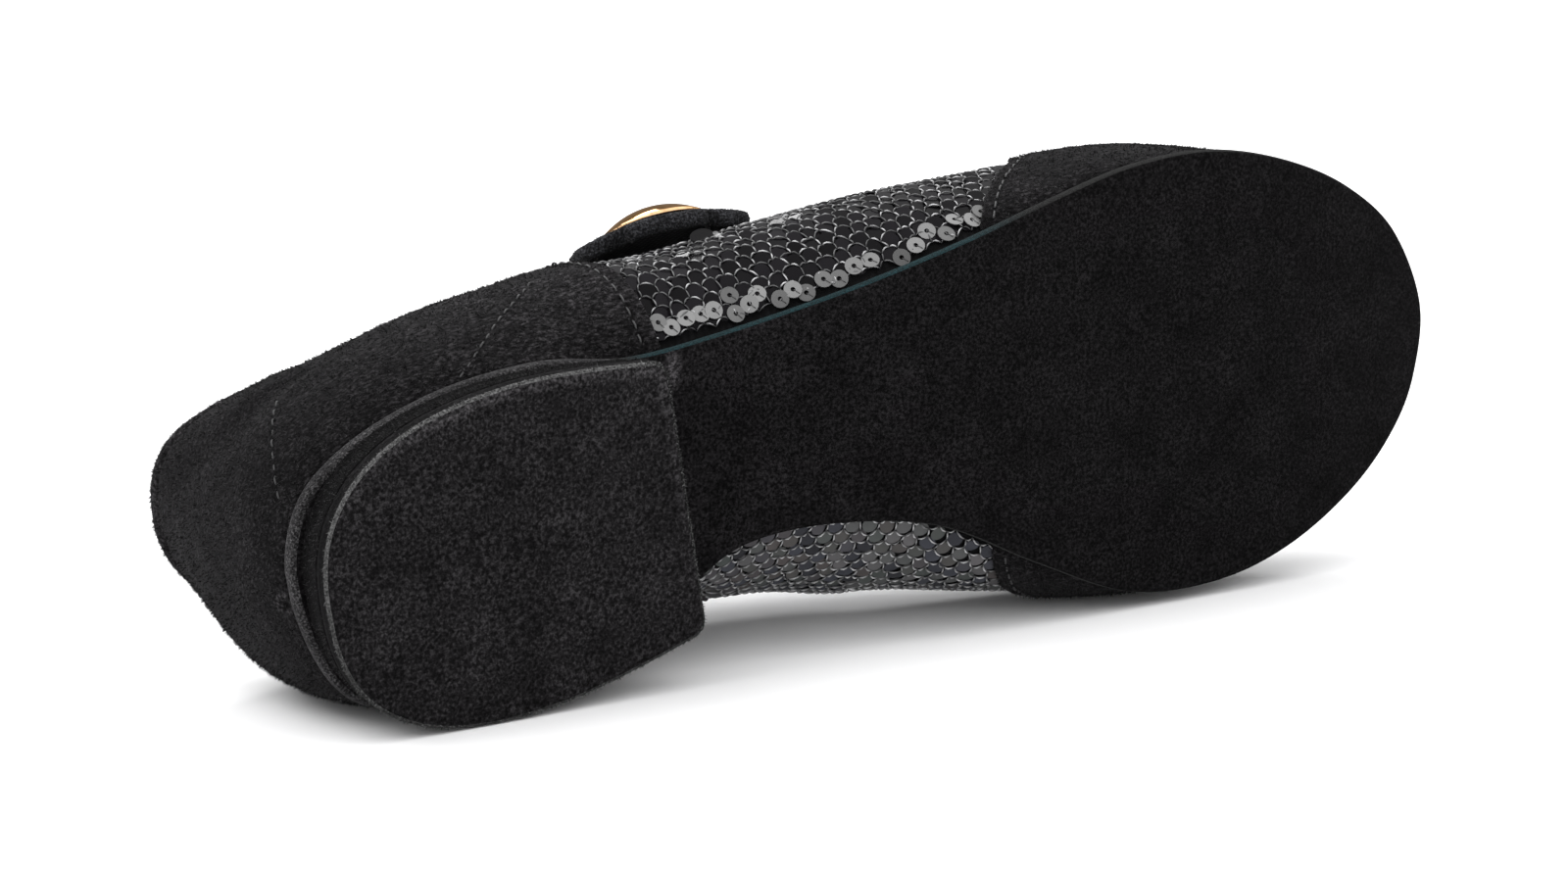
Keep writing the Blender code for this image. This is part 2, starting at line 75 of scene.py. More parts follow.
# Upper, counted as depth below the outer skin
OVERLAY_THICKNESS = 0.9
UPPER_DEPTH = 1.45
UPPER_WALL = 1.8
FEATHER_GAP = 0.5
INSOLE_THICKNESS = 1.6
INSOLE_INSET = 4.2
LOWER_ARC_START = math.radians(35)
BELLY_SHARE = 0.42

# Sections of the last, from the toe tip (row 0) to the back of the heel (last row), for each side
# (columns x and y of the sole's edge, how far out and how high the widest line lies, turn of the wall in degrees)
OUTER_SECTIONS = (
    (250.4, 14.5, -0.3, 18.0, 90),
    (244.5, -2.0, -0.4, 18.0, 90),
    (232.5, -14.2, -0.5, 17.5, 90),
    (216.5, -23.8, -0.6, 17.0, 90),
    (198.5, -30.4, -0.6, 17.0, 90),
    (180.0, -32.2, 1.4, 18.0, 90),
    (160.0, -30.4, 4.3, 20.0, 90),
    (138.0, -27.4, 8.3, 24.0, 80),
    (115.0, -24.2, 11.1, 27.0, 66),
    (93.0, -22.3, 12.3, 28.0, 58),
    (76.0, -22.6, 13.4, 31.0, 52),
    (58.0, -26.9, 8.3, 33.0, 50),
    (38.0, -27.2, 5.9, 31.0, 48),
    (20.0, -22.9, 4.6, 31.0, 45),
    (9.0, -14.8, 3.2, 31.0, 42),
    (5.6, 0.0, 3.2, 31.0, 40),
)
INNER_SECTIONS = (
    (250.4, 14.5, -0.3, 18.0, 90),
    (246.5, 27.8, -0.2, 18.0, 90),
    (239.0, 36.6, 0.0, 17.5, 90),
    (226.0, 44.3, 0.3, 17.0, 90),
    (207.5, 49.9, 0.8, 17.0, 90),
    (188.0, 51.3, 2.0, 18.5, 90),
    (168.0, 47.0, 4.6, 20.0, 90),
    (148.5, 35.2, 12.0, 28.0, 80),
    (129.5, 22.4, 20.4, 35.0, 66),
    (110.0, 16.7, 20.2, 37.0, 58),
    (92.0, 16.0, 18.4, 38.0, 54),
    (78.0, 21.5, 10.4, 36.0, 52),
    (58.0, 28.4, 1.4, 35.0, 50),
    (36.0, 28.8, 1.3, 35.0, 48),
    (13.0, 19.9, 3.0, 33.0, 44),
    (5.6, 0.0, 3.2, 31.0, 40),
)
HEEL_ROW = len(OUTER_SECTIONS) - 1
ROW_SPACING = 19.0
WALL_ROWS = HEEL_ROW - np.arange(2 * HEEL_ROW * 10) / 10

# The top of the wall: along the ridge of the vamp to the throat, then round the opening (columns x, y, z)
RIDGE = (
    (224.0, 12.5, 28.0),
    (217.0, 12.2, 30.0),
    (209.0, 11.6, 32.3),
    (199.0, 10.8, 35.5),
    (187.0, 10.0, 39.6),
    (172.0, 9.0, 45.0),
    (154.0, 7.5, 51.0),
)
THROAT_ROW = len(RIDGE) - 1
OUTER_TOPLINE = (
    (145.0, -8.0, 51.0),
    (126.0, -19.5, 51.5),
    (104.0, -26.0, 50.5),
    (82.0, -29.8, 49.0),
    (60.0, -30.2, 49.0),
    (40.0, -27.6, 50.2),
    (17.5, -23.2, 54.5),
    (7.0, -14.6, 59.2),
)
HEEL_TOP = (5.2, 0.0, 61.8)
INNER_TOPLINE = (
    (147.0, 23.5, 51.5),
    (128.0, 34.5, 52.0),
    (106.0, 34.5, 51.0),
    (86.0, 32.3, 49.5),
    (66.0, 29.0, 49.0),
    (42.0, 26.6, 50.0),
    (22.0, 22.2, 53.5),
    (10.4, 13.0, 57.6),
)

# Overlay edges: share of the wall's height, and the section row reached there on the outer and inner side
TOE_CAP_EDGE = ((0.0, 6.6, 7.38), (0.4, 5.76, 6.08), (0.7, 4.92, 5.0), (1.0, 4.0, 4.0))
COUNTER_EDGE = ((0.0, 9.57, 10.85), (0.4, 9.63, 10.7), (0.7, 9.78, 10.4), (1.0, 9.93, 10.2))

# Padded binding of the opening: section row, half thickness and half height
BINDING = ((THROAT_ROW, 1.3, 1.2), (9, 1.5, 1.5), (11, 1.9, 1.9), (13, 2.4, 2.2), (HEEL_ROW, 2.6, 2.3))

# Strap, from its tab on the outer side to its end inside the inner wall (columns x, y, z, turn in degrees)
STRAP_WIDTH = 32.0
STRAP_THICKNESS = 2.4
STRAP_PADDING = 0.8
STRAP_TAB_LENGTH = 8.0
STRAP_TAB_ROUNDNESS = 2.5
STRAP_TIP_SHARE = 0.45
STRAP_CROWN = 2.0
STRAP_CROWN_LENGTH = 12.0
STRAP_CROWN_LEFT = 0.3
STRAP_ROLL_DEG = 5.5
STRAP_SAMPLES = 100
STRAP_PATH = (
    (102.6, -36.6, 39.2, 3.0),
    (103.9, -34.3, 43.2, 3.0),
    (105.4, -31.5, 48.0, 3.0),
    (106.5, -28.3, 53.2, 2.0),
    (106.5, -24.6, 58.8, 1.0),
    (105.4, -18.2, 64.4, 0.0),
    (103.6, -6.0, 68.5, 0.0),
    (101.8, 10.0, 68.0, 0.0),
    (100.5, 22.0, 63.0, 0.0),
    (100.0, 26.0, 56.0, 0.0),
    (100.0, 27.0, 48.0, 0.0),
)

# Domed button near the end of the strap
BUTTON_RADIUS = 10.0
BUTTON_HEIGHT = 3.4
BUTTON_RIM = 0.8
BUTTON_LIFT = 0.45
BUTTON_FROM_TAB = 12.0

# Sequin cloth: a net of hexagonal cells with a flat sequin in each
CELL = 3.2
CELL_ROW = CELL * math.sqrt(3) / 2
CELL_SIDE = CELL / math.sqrt(3)
CELLS_X = (72.0, 200.0)
CELLS_GIRTH = 92.0
NET_RADIUS = 0.15
NET_LINK_RADIUS = 0.13
NET_BULGE = 0.34
NET_SIDES = 5
NET_GLINT_POWER = 0.8
NET_NODE_LIFT = 0.42
NET_ARCH = 0.3
NET_JITTER = 0.27
SEQUIN_RADIUS = 1.62
INNER_SEQUIN_RADIUS = 1.5
SEQUIN_THICKNESS = 0.12
SEQUIN_SIDES = 16
SEQUIN_LIFT = 0.2
SEQUIN_TILT = 0.09
STANDING_RADIUS = 2.15
OVERLAY_TUCK = 1.6
LOOSE_RADIUS = 1.68
LOOSE_HOLE = 0.45
LOOSE_LIFT = 0.75
LOOSE_THREAD = 0.07
LOOSE_TILT = 0.12
STANDING_SEQUIN = (8.38, 0.52)
STANDING_LIFT = 1.1
STANDING_LEAN = (0.1, -0.5)
CLOTH_ROWS = np.arange(3.6, 10.9, 0.02)
LOOSE_ROWS = np.arange(5.8, 9.9, 0.01)
CLOTH_FOOT = 0.8
CLOTH_TOP = 0.985
NET_FOOT = 0.3
NET_POINTS = 5
TUCK_LEAST = 0.35
TUCK_START = 0.2
TUCK_WIDTH = 2.2
TONE_SPREAD = 0.4
# Tones on the inner side start higher, a painted reflection of the bright floor.
INNER_PAINTED_REFLECTION = 0.6

# Loose pale sequins along the sole on the outer side: x, height over the sole's edge, brightness, which is partly
# their own grey and partly painted reflection
LOOSE_SEQUINS = (
    (85.0, 5.2, 0.6),
    (87.0, 3.4, 1.0),
    (90.2, 4.5, 1.0),
    (93.0, 4.4, 0.95),
    (95.6, 4.3, 1.0),
    (99.0, 2.2, 0.5),
    (99.4, 5.9, 0.3),
    (102.0, 3.5, 0.85),
    (104.2, 4.7, 1.0),
    (107.4, 2.5, 0.35),
    (110.5, 3.5, 0.9),
    (112.3, 1.8, 0.3),
    (116.3, 3.4, 0.5),
    (118.9, 2.4, 0.45),
    (122.5, 3.8, 0.8),
    (125.7, 3.8, 0.75),
    (131.0, 1.7, 0.2),
    (134.5, 2.8, 0.95),
    (138.1, 5.1, 0.9),
    (141.0, 2.9, 0.5),
    (144.1, 5.1, 0.9),
    (147.0, 3.4, 1.0),
    (149.6, 4.2, 0.45),
)

# Stitches
STITCH_PITCH = 2.7
STITCH_LENGTH = 1.7
STITCH_RADIUS = 0.2
STITCH_UNEVEN = 0.12
STITCH_RINGS = 5
STITCH_SIDES = 6
EDGE_STITCH_INSET = 2.0
COUNTER_STITCH_INSET = 3.8
EDGE_STITCH_LIFT = -0.02
SEAM_STITCH_LIFT = -0.08
STRAP_STITCH_INSET = 2.2
STRAP_STITCH_LIFT = 0.12
PUCKER_DEPTH = 0.22
PUCKER_WIDTH = 0.7

# Camera, fitted to the photograph: its place and aim in the shoe's axes, its roll and its lens
CAMERA_PLACE = (-256.24, -227.09, -585.93)
CAMERA_AIM = (82.76, -13.68, -24.13)
CAMERA_ROLL = math.radians(-1.25)
CAMERA_LENS = 94.25
CAMERA_SENSOR = 36.0

ONES = (1.0, 1.0, 1.0)
SUEDE_RELIEF = 0.0004
SLOPE_STEP = 0.01
JOIN_DISTANCE = 1e-4
RANDOM = np.random.default_rng(7)


# Shoe axes

def shoe_axes():
    """Matrix from the shoe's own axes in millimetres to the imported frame, by the two treads it would stand on."""
    mounts = {mount["name"]: mount for mount in frame["record"]["mounts"]}
    heel, forefoot = [Vector(mounts[name]["pos_m"]) for name in ("heel_tread", "forefoot_tread")]
    ahead = (forefoot - heel).normalized()
    up = -Vector(mounts["heel_tread"]["axis"])
    up = (up - ahead * up.dot(ahead)).normalized()
    turn = Matrix((ahead, up.cross(ahead), up)).transposed()
    matrix = turn.to_4x4() @ Matrix.Scale(MM, 4)
    matrix.translation = heel - ahead * HEEL_TREAD_X * MM
    return matrix


TO_ROW = shoe_axes()


# The last's surface, for whole arrays of places at once

def spline(points, place):
    """A Catmull-Rom curve through rows of numbers, at places counted in rows. Place 0 is the second row."""
    points = np.asarray(points, float)
    place = np.asarray(place, float)
    first = np.clip(np.floor(place).astype(int), 0, len(points) - 4)
    a, b, c, d = [points[first + i] for i in range(4)]
    t = (place - first)[..., None]
    return 0.5 * (
        2 * b + (c - a) * t + (2 * a - 5 * b + 4 * c - d) * t**2 + (3 * b - a - 3 * c + d) * t**3
    )


def smooth_step(value):
    value = np.clip(value, 0.0, 1.0)
    return value * value * (3 - 2 * value)


def wrapped(row):
    """A row carried on past the heel comes back on the other side."""
    return (np.asarray(row, float) + HEEL_ROW) % (2 * HEEL_ROW) - HEEL_ROW


def section(row):
    """Section values: positive rows run along the outer side, negative ones along the inner side."""
    row = np.asarray(row, float)
    outer = spline([INNER_SECTIONS[1], *OUTER_SECTIONS, INNER_SECTIONS[-2]], abs(row))
    inner = spline([OUTER_SECTIONS[1], *INNER_SECTIONS, OUTER_SECTIONS[-2]], abs(row))
    return np.where((row >= 0)[..., None], outer, inner)


def sole_edge(row):
    """Plan points of the sole's edge and the directions out of it."""
    along = section(wrapped(row + SLOPE_STEP))[..., :2] - section(wrapped(row - SLOPE_STEP))[..., :2]
    return section(row)[..., :2], unit(np.stack([-along[..., 1], along[..., 0]], -1))


def top_point(row):
    """The top of the wall: on the ridge in front of the throat, and on the topline behind it."""
    row = np.asarray(row, float)
    first = 2 * np.array(RIDGE[0]) - np.array(RIDGE[1])
    last = 2 * np.array(RIDGE[-1]) - np.array(RIDGE[-2])
    ridge = spline([first, *RIDGE, last], np.minimum(abs(row), THROAT_ROW))
    place = np.maximum(abs(row) - THROAT_ROW, 0.0)
    outer = spline([INNER_TOPLINE[0], RIDGE[-1], *OUTER_TOPLINE, HEEL_TOP, INNER_TOPLINE[-1]], place)
    inner = spline([OUTER_TOPLINE[0], RIDGE[-1], *INNER_TOPLINE, HEEL_TOP, OUTER_TOPLINE[-1]], place)
    behind = np.where((row > 0)[..., None], outer, inner)
    return np.where((abs(row) <= THROAT_ROW)[..., None], ridge, behind)


def sole_bottom(x):
    """Height of the sole's lower face: flat under the forefoot, raised at the heel seat and at the toe."""
    flat_back, flat_front = FOREFOOT_FLAT
    seat = (HEEL_HEIGHT + GAP) * smooth_step((flat_back - x) / (flat_back - HEEL_BREAST_X))
    spring = np.clip((x - flat_front) / (SOLE_LENGTH - flat_front), 0.0, None)
    return seat + TOE_SPRING * spring**TOE_SPRING_CURVE


def sole_top(x):
    return sole_bottom(x) + SOLE_THICKNESS


def skin(row, share):
    """Points of the outer skin: share 0 at the sole, BELLY_SHARE at the widest line, 1 at the top."""
    row, share = np.broadcast_arrays(np.asarray(row, float), np.asarray(share, float))
    values = section(row)
    belly_z, arc = values[..., 3], np.radians(values[..., 4])
    edge, out = sole_edge(row)
    belly = edge + out * values[..., 2:3]
    top = top_point(row)
    foot_z = sole_top(edge[..., 0]) + FEATHER_GAP
    turn = LOWER_ARC_START + (math.pi / 2 - LOWER_ARC_START) * np.minimum(share / BELLY_SHARE, 1.0)
    across = (np.sin(turn) - math.sin(LOWER_ARC_START)) / (1 - math.sin(LOWER_ARC_START))
    low_plan = edge + (belly - edge) * across[..., None]
    low_z = belly_z - (belly_z - foot_z) * np.cos(turn) / math.cos(LOWER_ARC_START)
    turn = arc * np.maximum(share - BELLY_SHARE, 0.0) / (1 - BELLY_SHARE)
    across = (1 - np.cos(turn)) / (1 - np.cos(arc))
    high_plan = belly + (top[..., :2] - belly) * across[..., None]
    high_z = belly_z + (top[..., 2] - belly_z) * np.sin(turn) / np.sin(arc)
    low = share <= BELLY_SHARE
    plan = np.where(low[..., None], low_plan, high_plan)
    return np.concatenate([plan, np.where(low, low_z, high_z)[..., None]], -1)


def unit(vectors):
    return vectors / np.maximum(np.linalg.norm(vectors, axis=-1, keepdims=True), 1e-9)


def skin_frame(row, share):
    """Points of the skin with the directions along the rows, up the wall and out of it."""
    row, share = np.broadcast_arrays(np.asarray(row, float), np.asarray(share, float))
    level = np.clip(share, SLOPE_STEP, 1 - 3 * SLOPE_STEP)
    up = unit(skin(row, level + SLOPE_STEP) - skin(row, level - SLOPE_STEP))
    along = unit(skin(wrapped(row + SLOPE_STEP), level) - skin(wrapped(row - SLOPE_STEP), level))
    return skin(row, share), along, up, unit(np.cross(up, along))


def edge_rows(table, share):
    """Section rows of an overlay's edge on the outer and inner side, on a smooth curve through its table."""
    table = np.array(table)
    outer, inner = [np.polyfit(table[:, 0], table[:, side], len(table) - 1) for side in (1, 2)]
    return np.polyval(outer, share), np.polyval(inner, share)


def toe_cap_rows(share):
    """Rows where the toe cap starts and ends: from the outer side over the toe to the inner side."""
    outer, inner = edge_rows(TOE_CAP_EDGE, share)
    return outer, -inner


def counter_rows(share):
    """Rows where the counter starts and ends, counted on past the heel."""
    outer, inner = edge_rows(COUNTER_EDGE, share)
    return outer, 2 * HEEL_ROW - inner


# Meshes

def add_piece(name, mesh, materials, replaces=None, smooth=True):
    """Makes a riding object of a mesh in the shoe's axes."""
    data = bpy.data.meshes.new(name)
    if isinstance(mesh, tuple):
        points, faces = mesh
        data.from_pydata([tuple(point) for point in points], [], faces)
    else:
        bmesh.ops.recalc_face_normals(mesh, faces=mesh.faces)
        mesh.to_mesh(data)
        mesh.free()
    data.transform(TO_ROW)
    if smooth:
        data.shade_smooth()
    for material in materials:
        data.materials.append(material)
    made = bpy.data.objects.new(name, data)
    bpy.context.scene.collection.objects.link(made)
    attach(made, BODY)
    if replaces:
        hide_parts(replaces)
    return made


def sheet_mesh(columns, closed=False):
    """Quads between columns of points. Points that coincide are joined."""
    mesh = bmesh.new()
    grid = [[mesh.verts.new(point) for point in column] for column in columns]
    pairs = list(zip(grid, grid[1:])) + ([(grid[-1], grid[0])] if closed else [])
    for near, far in pairs:
        for low in range(len(near) - 1):
            mesh.faces.new((near[low], far[low], far[low + 1], near[low + 1]))
    bmesh.ops.remove_doubles(mesh, verts=mesh.verts, dist=JOIN_DISTANCE)
    mesh.normal_update()
    return mesh


def thicken(mesh, depth, thickness, roundness=0.7, rim_steps=4):
    """Turns an open sheet into a closed wall with rounded rims (material slots 0 outside, 1 inside, 2 rims)."""
    mesh.normal_update()
    sheet = list(mesh.verts)
    faces = list(mesh.faces)
    normals = {vert: vert.normal.copy() for vert in sheet}
    rims = [loop for edge in mesh.edges if edge.is_boundary for loop in edge.link_loops]
    rim_ends = [(loop.vert, loop.link_loop_next.vert) for loop in rims]
    pulls = {}
    for start, end in rim_ends:
        pull = (end.co - start.co).normalized().cross(normals[start])
        for vert in (start, end):
            pulls[vert] = pulls.get(vert, Vector()) + pull
    for vert in sheet:
        vert.co -= normals[vert] * depth
    inner = {vert: mesh.verts.new(vert.co - normals[vert] * thickness) for vert in sheet}
    rings = {}
    for vert, pull in pulls.items():
        middle = vert.co - normals[vert] * thickness / 2
        rings[vert] = [vert]
        for step in range(1, rim_steps):
            turn = math.pi * step / rim_steps
            out = pull.normalized() * math.sin(turn) * roundness
            rings[vert].append(mesh.verts.new(middle + (normals[vert] * math.cos(turn) + out) * thickness / 2))
        rings[vert].append(inner[vert])
    for face in faces:
        made = mesh.faces.new([inner[vert] for vert in reversed(face.verts)])
        made.material_index = 1
    for start, end in rim_ends:
        for step in range(rim_steps):
            corners = (rings[end][step], rings[start][step], rings[start][step + 1], rings[end][step + 1])
            mesh.faces.new(corners).material_index = 2
    return mesh


def strip(rows, shares, count, offset=None):
    """Columns of skin points between two edges that depend on the share, with an offset out of the skin."""
    first, last = rows(shares)
    places = np.linspace(0.0, 1.0, count)[:, None]
    row = wrapped(first[None, :] + (last - first)[None, :] * places)
    share = np.broadcast_to(shares[None, :], row.shape)
    points, _, _, out = skin_frame(row, share)
    if offset is not None:
        points = points + out * offset(row, share, points)[..., None]
    return points


def ripple(points, size, seed):
    """Soft noise from -1 to 1 at points in the shoe's axes."""
    shift = Vector((seed * 17.3, seed * 5.1, seed * 9.7))
    flat = points.reshape(-1, 3)
    values = [noise.noise(Vector(point) / size + shift) for point in flat]
    return np.array(values).reshape(points.shape[:-1])


def bump_on(distance, width):
    """A soft ridge or trough: 1 at no distance, falling to 0 over a width."""
    return np.exp(-((distance / width) ** 2))


def lengths_along(points):
    """The length reached at each point of a line of points, or of many lines."""
    steps = np.linalg.norm(np.diff(points, axis=-2), axis=-1)
    return np.concatenate([np.zeros_like(steps[..., :1]), np.cumsum(steps, -1)], -1)


def circle(count):
    """Turns of evenly spaced places round a circle."""
    return np.linspace(0.0, 2 * math.pi, count, endpoint=False)


def around(count):
    """The numbers of neighbours round a ring."""
    return [(k, (k + 1) % count) for k in range(count)]


def add_bands(mesh, loops, slots):
    """Quads between neighbouring rings of a mesh, with the material slot of each band."""
    for lower, upper, slot in zip(loops, loops[1:], slots):
        for i, j in around(len(lower)):
            mesh.faces.new((lower[i], lower[j], upper[j], upper[i])).material_index = slot


def ring_stack(rings, slots):
    """A closed stack of rings of points, bottom to top, with the material slot of each band."""
    mesh = bmesh.new()
    loops = [[mesh.verts.new(point) for point in ring] for ring in rings]
    add_bands(mesh, loops, slots)
    mesh.faces.new(loops[0][::-1])
    mesh.faces.new(loops[-1])
    return mesh


def ring_points(centre, across, up, reach, sides):
    """Points round a centre, by two directions and a reach along them."""
    turns = circle(sides)[:, None]
    return list(centre + (across * np.cos(turns) + up * np.sin(turns)) * reach)


def band(low, high, sides):
    """Faces between two rings of points, by the numbers of the rings."""
    return [(low * sides + k, low * sides + j, high * sides + j, high * sides + k) for k, j in around(sides)]


def stacked(rings):
    """Points and faces of a closed stack of rings of points."""
    sides = len(rings[0])
    points = [point for ring in rings for point in ring]
    faces = [face for i in range(len(rings) - 1) for face in band(i, i + 1, sides)]
    return points, [*faces, range(sides)[::-1], range(len(points) - sides, len(points))]


def tube(path, normals, radius, sides):
    """Points and faces of a closed tube along a path, with one radius or one for each point."""
    tangents = unit(np.gradient(path, axis=0))
    across = unit(np.cross(tangents, normals))
    above = np.cross(across, tangents)
    rings = zip(path, across, above, np.broadcast_to(radius, len(path)))
    return stacked([ring_points(*ring, sides) for ring in rings])


def joined(parts):
    """One list of points and one of faces for many small meshes."""
    points, faces = [], []
    for part_points, part_faces in parts:
        first = len(points)
        points.extend(part_points)
        faces.extend(tuple(first + index for index in face) for face in part_faces)
    return points, faces


# Materials

def set_inputs(tree, node, inputs):
    """Gives inputs of a node their values, or links them to the outputs of other nodes."""
    for name, value in inputs.items():
        if isinstance(value, bpy.types.NodeSocket):
            tree.links.new(value, node.inputs[name])
        else:
            node.inputs[name].default_value = value


def add_node(tree, kind, inputs, **settings):
    node = tree.nodes.new("ShaderNode" + kind)
    for name, value in settings.items():
        setattr(node, name, value)
    set_inputs(tree, node, inputs)
    return node


def add_noise(tree, scale, detail=4.0, roughness=0.6, stretch=ONES):
    place = add_node(tree, "TexCoord", {}).outputs["Object"]
    place = add_node(tree, "Mapping", {"Vector": place, "Scale": stretch}).outputs["Vector"]
    inputs = {"Vector": place, "Scale": scale, "Detail": detail, "Roughness": roughness}
    return add_node(tree, "TexNoise", inputs).outputs["Fac"]


def add_ramp(tree, factor, stops):
    """Colours over a factor from 0 to 1, each stop a place and a colour."""
    ramp = add_node(tree, "ValToRGB", {"Fac": factor})
    elements = ramp.color_ramp.elements
    while len(elements) < len(stops):
        elements.new(0.5)
    for element, (place, colour) in zip(elements, stops):
        element.position = place
        element.color = (*colour, 1.0)
    return ramp.outputs["Color"]


def add_mix(tree, kind, factor, first, second):
    inputs = {0: factor, 6: first, 7: second}
    return add_node(tree, "Mix", inputs, data_type="RGBA", blend_type=kind).outputs[2]


def greys(colour, stops):
    """Ramp stops of one colour made darker and lighter."""
    return [(place, tuple(value * factor for value in colour)) for place, factor in stops]


def one_plus(tree, value):
    """A shade factor from a mark: 1 where there is no mark."""
    return add_node(tree, "Math", {0: 1.0, 1: value}, operation="ADD").outputs["Value"]


def mark_of(tree, name):
    """The number that a mesh gives each of its points under a name."""
    return add_node(tree, "Attribute", {}, attribute_name=name).outputs["Fac"]


def new_material(name):
    made = bpy.data.materials.new(name)
    made.use_nodes = True
    return made, made.node_tree


def surfaced(made, inputs, height, strength, depth=0.0002):
    """Gives a material its shader's inputs, and fine relief from a height."""
    tree = made.node_tree
    bump = add_node(tree, "Bump", {"Height": height, "Strength": strength, "Distance": depth})
    set_inputs(tree, tree.nodes["Principled BSDF"], {**inputs, "Normal": bump.outputs["Normal"]})
    return made


def suede(name, colour, grain, sheen, bump=0.6, stretch=ONES, patchy=0.5, tufts=4.0):
    """Napped leather: dark and pale fibres in tufts, larger patches of paler and darker nap, and painted light and
    shade with other marks on the mesh.
    """
    made, tree = new_material(name)
    fibres = add_noise(tree, grain, 5.0, 0.7, stretch)
    patches = add_noise(tree, grain / 18, 5.0, 0.65)
    fine = add_ramp(tree, fibres, greys(colour, ((0.38, 0.15), (0.47, 0.6), (0.54, 1.3), (0.64, tufts))))
    broad = add_ramp(tree, patches, greys(ONES, ((0.34, 1 - patchy), (0.66, 1 + patchy / 2))))
    napped = add_mix(tree, "MULTIPLY", 1.0, fine, broad)
    inputs = {
        "Base Color": add_mix(tree, "MULTIPLY", 1.0, napped, one_plus(tree, mark_of(tree, "tone_shift"))),
        "Roughness": 0.95,
        "Specular IOR Level": 0.03,
        "Sheen Weight": sheen,
        "Sheen Roughness": 0.55,
        "Sheen Tint": (0.75, 0.74, 0.77, 1.0),
    }
    return surfaced(made, inputs, fibres, bump, SUEDE_RELIEF)


def add_smudge(material, centre, reach, strength):
    """Lightens a material softly round one place in the shoe's axes."""
    tree = material.node_tree
    base = tree.nodes["Principled BSDF"].inputs["Base Color"]
    clean = base.links[0].from_socket
    inputs = {
        "Vector": add_node(tree, "TexCoord", {}).outputs["Object"],
        "Location": TO_ROW @ Vector(centre),
        "Rotation": TO_ROW.to_euler(),
        "Scale": Vector(reach) * MM,
    }
    place = add_node(tree, "Mapping", inputs, vector_type="TEXTURE").outputs["Vector"]
    spot = add_node(tree, "TexGradient", {"Vector": place}, gradient_type="SPHERICAL").outputs["Fac"]
    share = add_node(tree, "Math", {0: spot, 1: strength}, operation="MULTIPLY").outputs["Value"]
    tree.links.new(add_mix(tree, "MULTIPLY", 1.0, clean, one_plus(tree, share)), base)


def cut_edge(name, attribute, plain, marked):
    """The cut edge of suede with loose fibres, in a second colour where an attribute of the mesh marks it."""
    made, tree = new_material(name)
    fibres = add_noise(tree, 2200.0, 6.0, 0.75)
    shades = ((0.36, 0.35), (0.5, 0.9), (0.64, 2.0))
    colours = [add_ramp(tree, fibres, greys(colour, shades)) for colour in (plain, marked)]
    inputs = {
        "Base Color": add_mix(tree, "MIX", mark_of(tree, attribute), *colours),
        "Roughness": 0.95,
        "Specular IOR Level": 0.05,
        "Sheen Weight": 0.04,
    }
    return surfaced(made, inputs, fibres, 0.8, SUEDE_RELIEF)


def toned_material(name, colours, roughness, gloss):
    """A material whose colour changes from one small thing to the next, by its tone on a scale of colours."""
    made, tree = new_material(name)
    colour = add_ramp(tree, mark_of(tree, "tone"), colours)
    inputs = {"Base Color": colour, "Roughness": roughness, "Specular IOR Level": gloss}
    return surfaced(made, inputs, add_noise(tree, 900.0), 0.12)


def thread_material(name, colour):
    made, tree = new_material(name)
    twist = add_noise(tree, 3000.0, 2.0)
    shades = add_ramp(tree, twist, greys(colour, ((0.35, 0.55), (0.65, 1.0))))
    return surfaced(made, {"Base Color": shades, "Roughness": 0.5}, twist, 0.4)


def cloth_material(name, dark, light, threads_per_metre):
    """Plain woven cloth, its threads crossing in two directions."""
    made, tree = new_material(name)
    threads = {
        "Vector": add_node(tree, "TexCoord", {}).outputs["Object"],
        "Scale": threads_per_metre / (2 * math.pi),
        "Distortion": 1.5,
        "Detail": 2.0,
    }
    waves = [add_node(tree, "TexWave", threads, bands_direction=axis).outputs["Color"] for axis in ("X", "Y")]
    weave = add_mix(tree, "MULTIPLY", 1.0, *waves)
    colour = add_ramp(tree, weave, ((0.0, dark), (1.0, light)))
    return surfaced(made, {"Base Color": colour, "Roughness": 0.9, "Specular IOR Level": 0.1}, weave, 0.5)


def gold_material(name):
    made, tree = new_material(name)
    tone_shift = add_noise(tree, 260.0, 6.0)
    inputs = {
        "Base Color": add_ramp(tree, tone_shift, ((0.35, (0.45, 0.27, 0.13)), (0.65, (0.78, 0.5, 0.28)))),
        "Metallic": 1.0,
        "Roughness": 0.07,
        "Specular Tint": (0.78, 0.64, 0.5, 1.0),
    }
    return surfaced(made, inputs, add_noise(tree, 120.0, 2.0), 0.06, 0.001)


NAP = (0.5, 1.0, 1.0)
UPPER_SUEDE = suede("upper_suede", (0.0069, 0.0065, 0.0069), 1700.0, 0.04, stretch=NAP)
SOLE_SUEDE = suede("sole_suede", (0.0047, 0.0044, 0.0047), 1700.0, 0.01, bump=0.4, patchy=0.4, tufts=2.6)
HEEL_SUEDE = suede("heel_suede", (0.0096, 0.0091, 0.0096), 1500.0, 0.02, bump=0.5, patchy=0.4, tufts=3.0)
HEEL_COVER = suede("heel_cover", (0.0021, 0.002, 0.0021), 2200.0, 0.015, stretch=NAP)
STRAP_EDGE = suede("strap_edge", (0.017, 0.0172, 0.019), 2400.0, 0.06, bump=0.8)
# Its pale cut edge shows where the mesh marks it, and that mark also paints light and shade on it.
TREAD_EDGE = cut_edge("tread_edge", "pale", (0.006, 0.006, 0.006), (0.10, 0.10, 0.10))
SOLE_EDGE = cut_edge("sole_edge", "tint", (0.009, 0.009, 0.009), (0.005, 0.018, 0.021))
